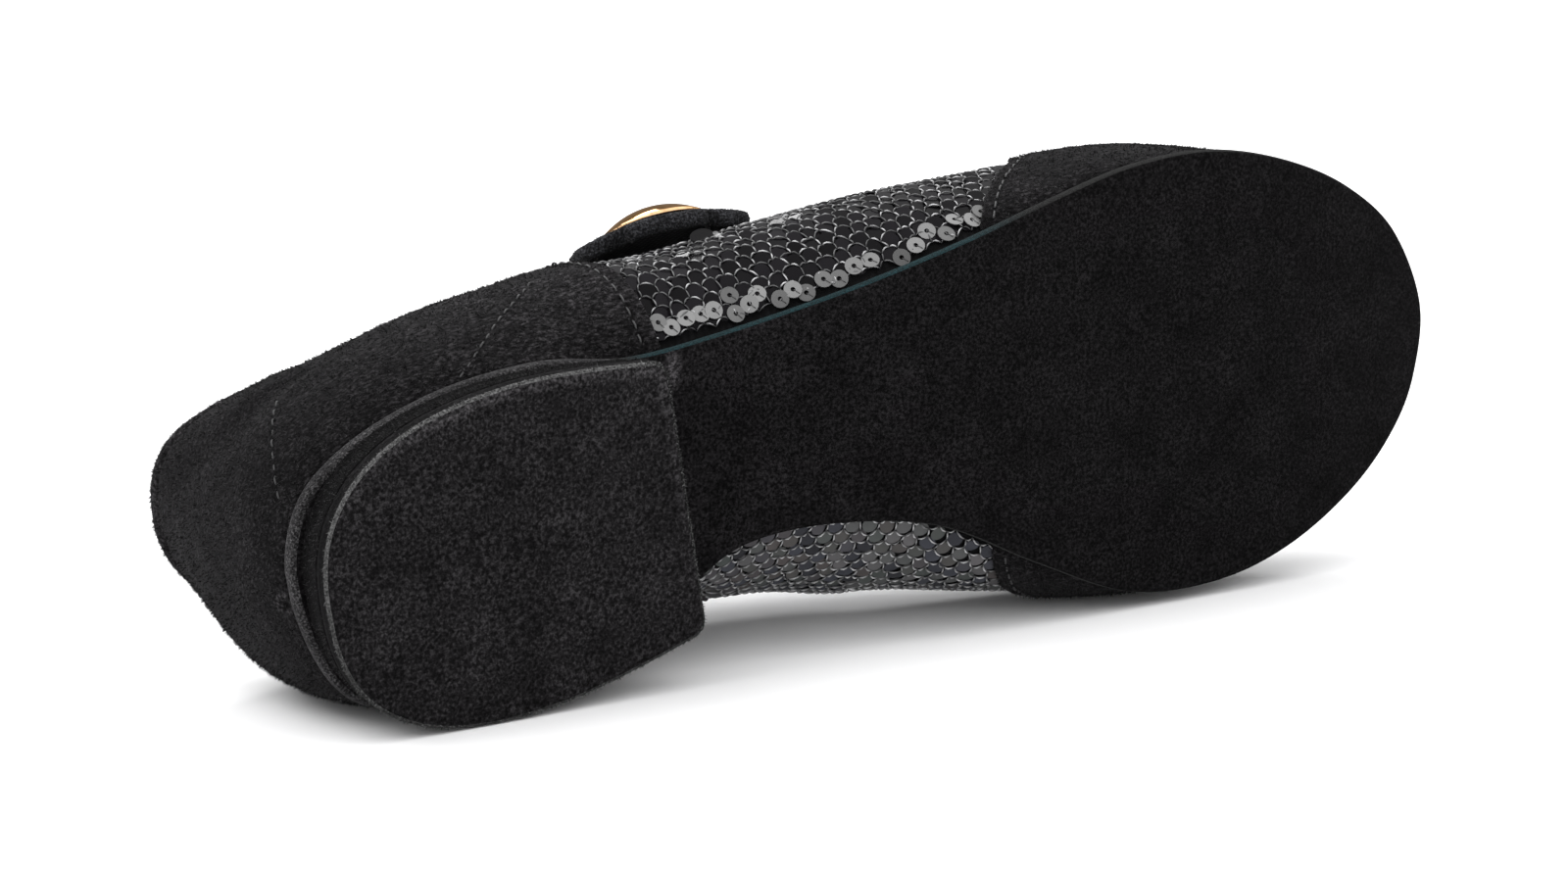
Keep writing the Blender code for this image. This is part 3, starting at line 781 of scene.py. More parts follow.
# The sole's rim over the heel seat is paler than the sole: a painted highlight along its rounded ridge.
SEAT_RIM_HIGHLIGHT = suede("seat_rim_highlight", (0.017, 0.0165, 0.017), 2600.0, 0.05)
add_smudge(SOLE_SUEDE, (83.2, -19.3, 10.2), (1.8, 4.2, 4.0), 6.0)
FIBRES = toned_material("fibres", ((0.0, (0.003, 0.003, 0.003)), (1.0, (0.05, 0.049, 0.05))), 0.9, 0.05)
PALE_FIBRES = toned_material("pale_fibres", ((0.0, (0.01, 0.01, 0.01)), (1.0, (0.16, 0.16, 0.16))), 0.9, 0.05)
LINING = cloth_material("lining", (0.012, 0.012, 0.013), (0.03, 0.03, 0.032), 1600.0)
BACKING = cloth_material("sequin_backing", (0.002, 0.002, 0.0022), (0.005, 0.005, 0.0055), 1400.0)
# Tones up to 0.4 are the black sequins' own random tones; from 0.6 up, used on the inner side, they are greyer and
# tinted as a painted reflection of the floor.
SEQUIN_TINTS = (
    (0.0, (0.003, 0.0028, 0.0032)),
    (0.4, (0.009, 0.0082, 0.0098)),
    (0.6, (0.022, 0.022, 0.025)),
    (0.7, (0.052, 0.054, 0.065)),
    (0.8, (0.075, 0.067, 0.066)),
    (0.9, (0.062, 0.069, 0.066)),
    (1.0, (0.11, 0.104, 0.109)),
)
SEQUIN_BLACK = toned_material("sequin_black", SEQUIN_TINTS, 0.18, 0.05)
PALE_TINTS = ((0.0, (0.012, 0.012, 0.012)), (1.0, (0.165, 0.165, 0.165)))
SEQUIN_PALE = toned_material("sequin_pale", PALE_TINTS, 0.3, 0.5)
# Tones of the net's threads: the bright end is a painted highlight.
NET_TINTS = ((0.0, (0.012, 0.012, 0.013)), (0.5, (0.075, 0.075, 0.077)), (1.0, (0.55, 0.55, 0.56)))
NET_THREAD = toned_material("net_thread", NET_TINTS, 0.3, 0.6)
STITCH_THREAD = thread_material("stitch_thread", (0.04, 0.04, 0.041))
SEAM_THREAD = thread_material("seam_thread", (0.016, 0.016, 0.017))
GOLD = gold_material("gold")


# Upper and its overlays

def make_upper():
    """The cloth wall under the sequins, with its lining inside."""
    shares = np.linspace(0.0, 1.0, 31)
    columns = skin(WALL_ROWS[:, None], shares[None, :])
    mesh = thicken(sheet_mesh(columns, closed=True), UPPER_DEPTH, UPPER_WALL, roundness=0.3)
    add_piece("upper_wall", mesh, (BACKING, LINING, BACKING), "upper")


def make_margin():
    """The turned-in lower edge of the cloth, between the wall and the sole."""
    edge, out = sole_edge(WALL_ROWS)
    floor = sole_top(edge[:, 0])
    foot, _, _, normal = skin_frame(WALL_ROWS, 0.0)
    head, _, _, head_normal = skin_frame(WALL_ROWS, 0.04)

    def on_sole(inset, rise):
        return np.column_stack([edge - out * inset, floor + rise])

    columns = [
        head - head_normal * (UPPER_DEPTH + 0.1),
        foot - normal * (UPPER_DEPTH - 0.1),
        on_sole(UPPER_DEPTH * 0.8, 0.6),
        on_sole(UPPER_DEPTH, 0.03),
        on_sole(INSOLE_INSET + 2.0, 0.03),
        on_sole(INSOLE_INSET + 2.0, GAP - 0.05),
        on_sole(INSOLE_INSET - 0.2, GAP - 0.05),
        head - head_normal * (UPPER_DEPTH + UPPER_WALL - 0.2),
    ]
    columns.append(columns[0])
    mesh = sheet_mesh(np.stack(columns, 1), closed=True)
    add_piece("upper_margin", mesh, (BACKING,))


def edge_distance(rows, row, share):
    """Rough distance in millimetres from an overlay's two free edges, by the spacing of the section rows."""
    first, last = rows(share)
    place = np.where(row < first, row + 2 * HEEL_ROW, row) if rows is counter_rows else row
    reach = np.minimum(abs(place - first), abs(last - place))
    return reach * ROW_SPACING


def toe_cap_relief(row, share, points):
    """Pucker beside the stitches, a rolled lower edge and faint brushed waves."""
    from_edge = edge_distance(toe_cap_rows, row, share)
    groove = -PUCKER_DEPTH * bump_on(from_edge - EDGE_STITCH_INSET, PUCKER_WIDTH)
    pillow = 0.12 * bump_on(from_edge - 5.0, 2.5)
    return groove + pillow + 0.16 * ripple(points, 14.0, 1) - 0.25 * bump_on(share, 0.03)


def make_toe_cap():
    shares = np.linspace(0.0, 1.0, 41)
    columns = strip(toe_cap_rows, shares, 221, toe_cap_relief)
    mesh = thicken(sheet_mesh(columns), 0.0, OVERLAY_THICKNESS)
    return add_piece("toe_cap_suede", mesh, (UPPER_SUEDE, LINING, UPPER_SUEDE), "toe_cap")


COLLAR_PAD = (
    (12.35, 0.58),
    (13.05, 0.585),
    (13.35, 0.59),
    (13.55, 0.62),
    (13.85, 0.69),
    (14.1, 0.77),
    (14.4, 0.85),
    (14.7, 0.89),
    (HEEL_ROW, 0.91),
)
COLLAR_PAD_RISE = 0.55
COLLAR_TROUGH = 0.5
PIT_PLACE = np.array((5.5, 1.1, 15.2))
PIT_WIDTH = 0.8


def counter_relief(row, share, points):
    """The trough under the padded collar, pucker beside the front stitches, a pit and soft dents."""
    from_edge = edge_distance(counter_rows, row, share)
    groove = -PUCKER_DEPTH * bump_on(from_edge - COUNTER_STITCH_INSET, PUCKER_WIDTH)
    crease = np.interp(abs(row), *np.array(COLLAR_PAD).T)
    near_heel = smooth_step((abs(row) - COLLAR_PAD[0][0]) / 0.3)
    soft = np.interp(abs(row), (12.6, 13.6), (0.035, 0.09))
    raised = COLLAR_PAD_RISE * smooth_step((share - crease) / (3 * soft))
    pad = near_heel * (raised - COLLAR_TROUGH * bump_on(share - crease, soft))
    from_pit = np.linalg.norm(points - PIT_PLACE, axis=-1)
    pit = -0.7 * bump_on(from_pit, PIT_WIDTH)
    rim = 0.25 * bump_on(from_pit - 1.6, 0.7)
    waves = 0.3 * ripple(points, 16.0, 2) + 0.12 * ripple(points, 6.0, 3)
    fade = smooth_step(share / 0.1) * smooth_step((1 - share) / 0.1)
    return groove + pad + pit + rim + waves * fade


def add_mark(made, name, value_at):
    """Gives every point of a piece a number that depends on its place in the shoe's axes."""
    back = TO_ROW.inverted()
    mark = made.data.attributes.new(name, "FLOAT", "POINT")
    mark.data.foreach_set("value", [float(value_at(back @ vert.co)) for vert in made.data.vertices])


def counter_marks_and_painted_light(place):
    """Darker in the pit with a paler ring round it; the outer side, on top as the shoe lies, is painted paler as
    painted light.
    """
    from_pit = np.linalg.norm(np.array(place) - PIT_PLACE)
    # painted light: paler towards the toe on the outer side, which lies on top, and a little darker elsewhere
    painted_top_light = 0.7 * smooth_step((place.x - 20) / 40) * smooth_step((-12 - place.y) / 18) - 0.1
    return painted_top_light + 1.3 * bump_on(from_pit - 1.7, 0.7) - 0.9 * bump_on(from_pit, 0.9)


def make_counter():
    shares = np.linspace(0.0, 1.0, 61)
    columns = strip(counter_rows, shares, 261, counter_relief)
    mesh = thicken(sheet_mesh(columns[::-1]), 0.0, OVERLAY_THICKNESS)
    made = add_piece("counter_suede", mesh, (UPPER_SUEDE, LINING, UPPER_SUEDE), "heel_counter")
    add_mark(made, "tone_shift", counter_marks_and_painted_light)
    return made


def make_binding():
    """The padded roll round the opening, gathered a little along its length."""
    steps = 12
    count = 2 * (HEEL_ROW - THROAT_ROW) * steps
    rows = wrapped(THROAT_ROW + np.arange(count) / steps)
    points, _, _, out = skin_frame(rows, 1.0)
    tangent = unit(np.roll(points, -1, 0) - np.roll(points, 1, 0))
    rise = unit(np.cross(tangent, out))
    sizes = np.array(BINDING).T
    thick, high = [np.interp(abs(rows), sizes[0], size)[:, None] for size in sizes[1:]]
    gather = 1 + 0.05 * ripple(points, 5.0, 4)[:, None]
    centre = points - out * (UPPER_DEPTH + UPPER_WALL) / 2 + rise * high
    across, up = out * thick * gather, rise * high * gather
    rings = [ring_points(*ring, 1.0, 20) for ring in zip(centre, across, up)]
    rings.append(rings[0])
    mesh = sheet_mesh([[*ring, ring[0]] for ring in rings])
    made = add_piece("collar_roll", mesh, (UPPER_SUEDE,), "collar_binding")
    # Painted light: the back of the roll, at the outline, is painted paler as a rim of sheen.
    add_mark(made, "tone_shift", lambda place: 1.2 * smooth_step((32.0 - place.x) / 15))
    return made


# Strap and button

def strap_values(place):
    """Point and turn of the strap's middle line at places counted in rows of its path."""
    path = np.array(STRAP_PATH)
    path = np.vstack([2 * path[0] - path[1], path, 2 * path[-1] - path[-2]])
    return spline(path, np.clip(place, 0, len(STRAP_PATH) - 1))


def strap_reach():
    """Lengths from the tab along the middle line, and the places they reach."""
    places = np.linspace(0.0, len(STRAP_PATH) - 1, STRAP_SAMPLES + 1)
    return lengths_along(strap_values(places)[:, :3]), places


STRAP_LENGTHS, STRAP_PLACES = strap_reach()


def strap_frame(from_tab):
    """Point, direction along and direction out of the strap's middle line, by the length from the tab."""
    place = np.interp(from_tab, STRAP_LENGTHS, STRAP_PLACES)
    x, y, z, turn_deg = strap_values(place)
    before, after = [strap_values(place + step)[:3] for step in (-SLOPE_STEP, SLOPE_STEP)]
    along = Vector(after - before).normalized()
    turn = math.radians(turn_deg)
    level = Vector((math.cos(turn), math.sin(turn), 0.0)).cross(along).normalized()
    roll = math.radians(STRAP_ROLL_DEG) * (1 - place / (len(STRAP_PATH) - 1))
    out = level * math.cos(roll) + along.cross(level) * math.sin(roll)
    return Vector((x, y, z)), along, out


def strap_half_width(from_tab):
    short = max(0.0, 1 - from_tab / STRAP_TAB_LENGTH)
    return STRAP_WIDTH / 2 * max(STRAP_TIP_SHARE, math.sqrt(1 - short**STRAP_TAB_ROUNDNESS))


def strap_point(from_tab, across):
    """A point of the strap's middle sheet, crowned across its width, and the direction out of it."""
    point, along, out = strap_frame(from_tab)
    fade = max(0.0, 1 - from_tab / STRAP_CROWN_LENGTH)
    crown = STRAP_CROWN * (STRAP_CROWN_LEFT + (1 - STRAP_CROWN_LEFT) * fade)
    share = across / (STRAP_WIDTH / 2)
    return point + along.cross(out) * across - out * crown * share**2, out


def make_strap():
    """The padded band over the instep, its tab's cut edge showing."""
    length = STRAP_LENGTHS[-1]
    steps, across_steps = 90, 28
    columns = []
    for i in range(steps + 1):
        from_tab = length * (i / steps) ** 1.5
        half = strap_half_width(from_tab)
        column = []
        for k in range(across_steps + 1):
            share = math.sin(math.pi / 2 * (2 * k / across_steps - 1))
            point, out = strap_point(from_tab, half * share)
            lift = 0.2 * (1 - share**8) + 0.12 * noise.noise(Vector((from_tab / 6, half * share / 5, 2.0)))
            column.append(point + out * lift)
        columns.append(column)
    whole = STRAP_THICKNESS + STRAP_PADDING
    mesh = thicken(sheet_mesh(columns[::-1]), -STRAP_THICKNESS / 2, whole, roundness=0.55, rim_steps=6)
    return add_piece("strap_band", mesh, (UPPER_SUEDE, LINING, STRAP_EDGE), "strap")


def make_button():
    """A polished dome over a rolled rim."""
    point, along, out = strap_frame(BUTTON_FROM_TAB)
    base = point + out * (STRAP_THICKNESS / 2 + BUTTON_LIFT)
    side = along.cross(out)
    sphere = (BUTTON_RADIUS**2 + BUTTON_HEIGHT**2) / (2 * BUTTON_HEIGHT)
    limit = math.asin(BUTTON_RADIUS / sphere)
    profile = [(BUTTON_RADIUS - 1.2, 0.0), (BUTTON_RADIUS - 0.3, 0.02)]
    profile += [(BUTTON_RADIUS, 0.25), (BUTTON_RADIUS + 0.05, BUTTON_RIM * 0.6)]
    for ring in range(24):
        turn = limit * (1 - ring / 24)
        rise = sphere * (math.cos(turn) - math.cos(limit)) + BUTTON_RIM
        profile.append((sphere * math.sin(turn), rise))
    spokes = [along * math.cos(turn) + side * math.sin(turn) for turn in circle(72)]
    rings = [[base + out * rise + spoke * radius for spoke in spokes] for radius, rise in profile]
    mesh = ring_stack(rings, [0] * len(rings))
    add_piece("button_dome", mesh, (GOLD,), "strap_button")


# Sole and heel

def sole_rungs(margin, count):
    """Plan points of the sole's two sides at stations from heel to toe, set out by a margin."""
    rows = np.linspace(0.0, HEEL_ROW, 40 * HEEL_ROW + 1)
    sides = []
    for sign in (1, -1):
        edge, out = sole_edge(sign * rows)
        sides.append((edge + out * margin)[::-1])
    heel_x, toe_x = sides[0][0][0], sides[0][-1][0]
    x = heel_x + (toe_x - heel_x) * (1 - np.cos(np.pi * np.arange(count + 1) / count)) / 2
    outer, inner = [np.interp(x, side[:, 0], side[:, 1]) for side in sides]
    inner[0], inner[-1] = outer[0], outer[-1]
    return x, outer, inner


def plank(profile, height, count):
    """A plank with a rounded edge: rings of (margin, share of the thickness, slot), capped below and above."""
    mesh = bmesh.new()
    loops = []
    for margin, share, _ in profile:
        x, outer, inner = sole_rungs(margin, count)
        z = height(x, share)
        far = [mesh.verts.new(point) for point in zip(x, outer, z)]
        near = [mesh.verts.new(point) for point in list(zip(x, inner, z))[1:-1]]
        loops.append(far + near[::-1])
    add_bands(mesh, loops, [slot for _, _, slot in profile[1:]])
    for loop in (loops[0], loops[-1]):
        inner_side = [loop[0], *loop[:count:-1], loop[count]]
        for i in range(count):
            corners = (loop[i], loop[i + 1], inner_side[i + 1], inner_side[i])
            mesh.faces.new(list(dict.fromkeys(corners)))
    return mesh


TEAL_X = (74.0, 158.0)
# Painted light and shade along the sole by x: paler at the waist, where the heel shades it, darker towards the toe.
SOLE_PAINTED_LIGHT = ((90.0, 0.35), (150.0, 0.05), (230.0, -0.2))


def teal_at(place):
    """The sole's edge is dyed along the outer side of the waist."""
    ends = smooth_step((place.x - TEAL_X[0]) / 6) * smooth_step((TEAL_X[1] - place.x) / 20)
    return ends * (place.y < 0)


def make_outsole():
    """The sole, with a softly rounded rim where it shows above the heel, painted paler there as a highlight."""
    profile = (
        (SOLE_MARGIN - 2.0, 0.0, 0),
        (SOLE_MARGIN - 1.0, 0.0, 0),
        (SOLE_MARGIN - 0.45, 0.04, 3),
        (SOLE_MARGIN - 0.12, 0.14, 3),
        (SOLE_MARGIN + 0.05, 0.32, 1),
        (SOLE_MARGIN + 0.1, 0.55, 1),
        (SOLE_MARGIN + 0.02, 0.78, 1),
        (SOLE_MARGIN - 0.2, 0.95, 1),
        (SOLE_MARGIN - 0.6, 1.04, 1),
        (SOLE_MARGIN - 1.4, 1.04, 0),
    )
    mesh = plank(profile, lambda x, share: sole_bottom(x) + SOLE_THICKNESS * share, 180)
    for face in mesh.faces:
        if face.material_index and face.calc_center_median().x < HEEL_BREAST_X - BREAST_CORNER:
            face.material_index = 2
        elif face.material_index == 3:
            face.material_index = 0
    made = add_piece("outsole_suede", mesh, (SOLE_SUEDE, SOLE_EDGE, SEAT_RIM_HIGHLIGHT), "outsole")
    add_mark(made, "tint", teal_at)
    # painted light and shade along the sole's length
    add_mark(made, "tone_shift", lambda place: np.interp(place.x, *np.array(SOLE_PAINTED_LIGHT).T))


def make_insole():
    inset = -INSOLE_INSET
    profile = (
        (inset - 1.0, 0.0, 0),
        (inset - 0.3, 0.0, 0),
        (inset, 0.3, 0),
        (inset, 0.7, 0),
        (inset - 0.4, 1.0, 0),
        (inset - 1.2, 1.0, 0),
    )
    mesh = plank(profile, lambda x, share: sole_top(x) + GAP + INSOLE_THICKNESS * share, 140)
    add_piece("insole_cloth", mesh, (LINING,), "insole")


def heel_outline(expand):
    """Plan outline of the heel: a rounded back and a straight breast with eased corners."""
    half = HEEL_HALF_WIDTH + expand
    back = HEEL_BACK_X - expand
    power = 2 / HEEL_ROUNDNESS
    arc_steps, side_steps, corner_steps = 120, 12, 8
    points = []
    for i in range(arc_steps + 1):
        turn = math.pi * (i / arc_steps - 0.5)
        across = math.copysign(abs(math.sin(turn)) ** power, math.sin(turn))
        behind = (HEEL_WIDEST_X - back) * abs(math.cos(turn)) ** power
        points.append((HEEL_WIDEST_X - behind, half * across))
    breast_x = HEEL_BREAST_X + min(expand, 0.0)
    corner_x = breast_x - BREAST_CORNER
    for breast, order in ((BREAST_INNER + expand, 1), (-BREAST_OUTER - expand, -1)):
        side = []
        for i in range(1, side_steps):
            share = i / side_steps
            y = half - (half - abs(breast)) * share**HEEL_SIDE_CURVE
            side.append((HEEL_WIDEST_X + (corner_x - HEEL_WIDEST_X) * share, math.copysign(y, breast)))
        for i in range(corner_steps + 1):
            turn = math.pi / 2 * i / corner_steps
            y = breast - math.copysign(BREAST_CORNER * (1 - math.cos(turn)), breast)
            side.append((corner_x + BREAST_CORNER * math.sin(turn), y))
        points += side[::order]
    return points[::-1]


def heel_layers(profile):
    """A stack of heel outlines: how far each is set out, its height, and the slot of the band below it."""
    rings = [[(x, y, height) for x, y in heel_outline(expand)] for expand, height, _ in profile]
    return ring_stack(rings, [slot for _, _, slot in profile[1:]])


def make_heel_block():
    """The covered heel, drawn in towards the seat and close under the sole."""
    low, high = TOP_PIECE_THICKNESS + GAP, HEEL_HEIGHT
    profile = (
        (-1.5, low - 0.16, 0),
        (-0.5, low - 0.16, 0),
        (-0.12, low - 0.13, 0),
        (-0.1, low + 0.5, 0),
        (-0.4, low + 2.0, 0),
        (-0.75, low + 3.6, 0),
        (-1.1, low + 5.0, 0),
        (-1.2, high - 0.5, 0),
        (-1.1, high + 0.05, 0),
        (-1.3, high + 0.25, 0),
        (-2.5, high + 0.25, 0),
    )
    return add_piece("heel_cover", heel_layers(profile), (HEEL_COVER,), "heel_block")


def pale_edge_and_painted_light_at(place):
    """The tread's cut edge is pale; painted light and shade make it palest on the outer side, on top, and dark on
    the inner side and along the breast.
    """
    across = np.interp(place.y, (-20.0, 0.0, 16.0), (1.0, 0.6, 0.2))
    return across * smooth_step((HEEL_BREAST_X - place.x - 0.5) / 4)


def tread_top_light_at(place):
    """Painted light: the face of the tread is paler beside its edge on the outer side, which lies on top."""
    return (place.z > 0.005) * np.interp(place.y, (-26.0, -12.0), (1.5, 0.0))


def make_top_piece():
    """The heel's tread, with the pale cut edge of its suede round the face."""
    high = TOP_PIECE_THICKNESS
    profile = (
        (-2.8, 0.0, 0),
        (-1.3, 0.01, 0),
        (-0.5, 0.03, 0),
        (-0.2, 0.12, 1),
        (0.0, 0.3, 1),
        (0.04, 0.55, 1),
        (0.0, 0.85, 2),
        (-0.08, 2.2, 2),
        (-0.1, high + 0.12, 2),
        (-0.5, high + 0.13, 2),
        (-1.5, high + 0.13, 2),
    )
    materials = (HEEL_SUEDE, TREAD_EDGE, HEEL_COVER)
    made = add_piece("heel_tread", heel_layers(profile), materials, "heel_top_piece")
    add_mark(made, "pale", pale_edge_and_painted_light_at)
    add_mark(made, "tone_shift", tread_top_light_at)
    return made


# Sequin cloth

def cloth_chart(sign):
    """Places on one side of the cloth by x and by girth from the ridge of the vamp: a function of both arrays."""
    rows = CLOTH_ROWS
    shares = np.linspace(0.0, 1.0, 121)
    points = skin(sign * rows[:, None], shares[None, :])
    height = lengths_along(points)
    whole = np.interp(np.minimum(rows, THROAT_ROW), rows, height[:, -1])
    x, girth = points[..., 0], whole[:, None] - height
    (x_row, x_share), (g_row, g_share) = [np.gradient(values, rows, shares) for values in (x, girth)]
    size = x_row * g_share - x_share * g_row

    def places(target_x, target_girth):
        found = []
        for goal_x, goal_girth in zip(target_x, target_girth):
            miss = (x - goal_x) ** 2 + (girth - goal_girth) ** 2
            i, j = np.unravel_index(miss.argmin(), miss.shape)
            dx, dg = goal_x - x[i, j], goal_girth - girth[i, j]
            row = rows[i] + (dx * g_share[i, j] - dg * x_share[i, j]) / size[i, j]
            share = shares[j] + (dg * x_row[i, j] - dx * g_row[i, j]) / size[i, j]
            inside = abs(row - rows[i]) < 0.1 and abs(share - shares[j]) < 0.03
            found.append((sign * row, share, height[i, j] + (share - shares[j]) * -g_share[i, j], inside))
        return np.array(found, float)

    return places


def overlay_reach(row, share):
    """How far a place on the cloth lies clear of the overlays' edges, in millimetres; negative under them."""
    side = 0 if row > 0 else 1
    toe = edge_rows(TOE_CAP_EDGE, share)[side]
    counter = edge_rows(COUNTER_EDGE, share)[side]
    return min(abs(row) - toe, counter - abs(row)) * ROW_SPACING


def tuck(reach):
    """Height factor that sinks the cloth's relief below an overlay's edge."""
    return TUCK_LEAST + (1 - TUCK_LEAST) * smooth_step((reach - TUCK_START) / TUCK_WIDTH)


def cloth_lookup():
    """A function of x and girth: row, share, height over the sole, and whether the place is on the cloth."""
    charts = {sign: cloth_chart(sign) for sign in (1, -1)}

    def places_at(x, girth):
        found = np.zeros((len(x), 4))
        for sign, chosen in ((1, girth >= 0), (-1, girth < 0)):
            found[chosen] = charts[sign](x[chosen], abs(girth[chosen]))
        return found

    return places_at


def cell_centres():
    """Centres of the net's cells by x and girth."""
    centres = []
    last = int(CELLS_GIRTH / CELL_ROW)
    for j in range(-last, last + 1):
        shift = CELL / 2 * (j % 2)
        for i in range(int((CELLS_X[1] - CELLS_X[0]) / CELL) + 1):
            centres.append((CELLS_X[0] + i * CELL + shift, j * CELL_ROW))
    return centres


def kept_cells(places_at):
    """The cells that lie on the cloth, as centre, row, share and distance from the overlays."""
    centres = cell_centres()
    kept = []
    for (x, girth), (row, share, height, inside) in zip(centres, places_at(*np.array(centres).T)):
        if not inside or height < CLOTH_FOOT or share > CLOTH_TOP and abs(row) > THROAT_ROW:
            continue
        reach = overlay_reach(row, share)
        if reach > -OVERLAY_TUCK:
            kept.append((x, girth, row, share, reach))
    return kept


def net_graph(cells):
    """Corners and sides of the kept hexagons, each listed once."""
    corners, sides = {}, set()
    for x, girth, *_ in cells:
        ring = []
        for k in range(6):
            turn = math.pi / 3 * k + math.pi / 6
            corner = (x + CELL_SIDE * math.cos(turn), girth + CELL_SIDE * math.sin(turn))
            key = (round(corner[0], 1), round(corner[1], 1))
            corners.setdefault(key, corner)
            ring.append(key)
        for start, end in zip(ring, ring[1:] + ring[:1]):
            sides.add((min(start, end), max(start, end)))
    return corners, sorted(sides)


def make_net(places_at, cells):
    """Threads along the sides of the cells: thick arcs that bulge towards the ridge, and thin links."""
    corners, sides = net_graph(cells)
    keys = list(corners)
    spots = np.array([corners[key] for key in keys])
    spots = spots + RANDOM.normal(0.0, NET_JITTER, spots.shape)
    found = places_at(*spots.T)
    points, _, ups, outs = skin_frame(found[:, 0], np.clip(found[:, 1], 0.0, 1.0))
    index = {key: i for i, key in enumerate(keys)}
    parts, tones = [], []
    for start, end in sides:
        a, b = index[start], index[end]
        if not (found[a, 3] and found[b, 3]) or min(found[a, 2], found[b, 2]) < NET_FOOT:
            continue
        if np.linalg.norm(points[a] - points[b]) > 2 * CELL_SIDE:
            continue
        reach = min(overlay_reach(*found[k, :2]) for k in (a, b))
        if reach < -OVERLAY_TUCK:
            continue
        shares = np.linspace(0.0, 1.0, NET_POINTS)[:, None]
        path = points[a] + (points[b] - points[a]) * shares
        normals = unit(outs[a] + (outs[b] - outs[a]) * shares)
        arch = np.sin(np.pi * shares)
        lift = (NET_NODE_LIFT + NET_ARCH * arch) * tuck(reach)
        is_link = abs(spots[a, 0] - spots[b, 0]) < CELL / 4
        path = path + normals * (lift - UPPER_DEPTH)
        if not is_link:
            path = path + unit(ups[a] + ups[b]) * NET_BULGE * arch
        radius = NET_LINK_RADIUS if is_link else NET_RADIUS * (0.75 + 0.25 * arch[:, 0])
        parts.append(tube(path, normals, radius, NET_SIDES))
        # Painted glints: a random brightness for each side, brightest at the middle of its arc.
        painted_glint = RANDOM.random() ** NET_GLINT_POWER
        # threads on the inner side are brighter, a painted reflection of the floor
        painted_glint = INNER_PAINTED_REFLECTION + TONE_SPREAD * painted_glint if found[a, 0] < 0 else painted_glint
        tones.extend(painted_glint * (0.2 + 0.8 * arch[:, 0]))
    made = add_piece("sequin_net", joined(parts), (NET_THREAD,))
    add_tones(made, tones, NET_SIDES)


def disc(centre, across, up, out, radius):
    """Points and faces of a flat sequin whose hole is hidden under its thread."""
    half = out * SEQUIN_THICKNESS / 2
    return stacked([ring_points(centre + lift, across, up, radius, SEQUIN_SIDES) for lift in (-half, half)])


def washer(centre, across, up, out, radius, hole):
    """Points and faces of a flat sequin with an open hole."""
    half = out * SEQUIN_THICKNESS / 2
    points = []
    for reach, lift in ((radius, -half), (radius, half), (hole, half), (hole, -half)):
        points += ring_points(centre + lift, across, up, reach, SEQUIN_SIDES)
    return points, [face for low, high in around(4) for face in band(low, high, SEQUIN_SIDES)]


def add_tones(made, tones, points_each):
    """Gives every few points of a piece their own tone."""
    attribute = made.data.attributes.new("tone", "FLOAT", "POINT")
    attribute.data.foreach_set("value", np.repeat(np.asarray(tones, np.float32), points_each))


def tilted(along, up, out, lean_along, lean_up):
    """A local frame leaned by small slopes."""
    leaned = unit(out + along * lean_along + up * lean_up)
    across = unit(np.cross(up, leaned))
    return across, np.cross(leaned, across), leaned


def make_sequins(cells):
    """A black sequin in each cell, lapped like scales."""
    parts, tones = [], []
    for _, _, row, share, reach in cells:
        point, along, up, out = skin_frame(row, min(share, 0.99))
        lean = RANDOM.normal(0.0, SEQUIN_TILT, 2) * tuck(reach)
        across, rise, face = tilted(along, up, out, lean[0], lean[1] - SEQUIN_TILT * tuck(reach))
        centre = point + out * (SEQUIN_LIFT * tuck(reach) + 0.1 - UPPER_DEPTH)
        radius = INNER_SEQUIN_RADIUS if row < 0 else SEQUIN_RADIUS
        parts.append(disc(centre, across, rise, face, radius))
        # inner sequins get lighter tones, a painted reflection of the floor
        tones.append(RANDOM.random() * TONE_SPREAD + (INNER_PAINTED_REFLECTION if row < 0 else 0.0))
    point, along, up, out = skin_frame(*STANDING_SEQUIN)
    across, rise, face = tilted(along, up, out, *STANDING_LEAN)
    parts.append(disc(point + out * (STANDING_LIFT - UPPER_DEPTH), across, rise, face, STANDING_RADIUS))
    tones.append(0.0)
    made = add_piece("sequins", joined(parts), (SEQUIN_BLACK,), smooth=False)
    add_tones(made, tones, 2 * SEQUIN_SIDES)


def make_loose_sequins():
    """Pale sequins that lie over the net along the sole's edge."""
    rows = LOOSE_ROWS
    shares = np.linspace(0.0, 0.5, 61)
    points = skin(rows[:, None], shares[None, :])
    height = lengths_along(points)
    parts, tones, threads = [], [], []
    for x, over, tone in LOOSE_SEQUINS:
        i, j = np.unravel_index(((points[..., 0] - x) ** 2 + (height - over) ** 2).argmin(), height.shape)
        point, along, up, out = skin_frame(rows[i], shares[j])
        across, rise, face = tilted(along, up, out, *RANDOM.normal(0.0, LOOSE_TILT, 2))
        centre = point + out * (LOOSE_LIFT - UPPER_DEPTH)
        parts.append(washer(centre, across, rise, face, LOOSE_RADIUS, LOOSE_HOLE))
        tones.append(tone)
        ends = [(0.0, -0.3), (0.3, 0.16), (1.3, 0.16), (1.9, -0.4)]
        away = unit(across * 0.5 - rise)
        path = np.array([centre + away * reach + face * height for reach, height in ends])
        threads.append(tube(path, np.broadcast_to(face, path.shape), LOOSE_THREAD, NET_SIDES))
    made = add_piece("loose_sequins", joined(parts), (SEQUIN_PALE,), smooth=False)
    add_tones(made, tones, 4 * SEQUIN_SIDES)
    add_piece("sequin_threads", joined(threads), (STITCH_THREAD,))


# Stitches

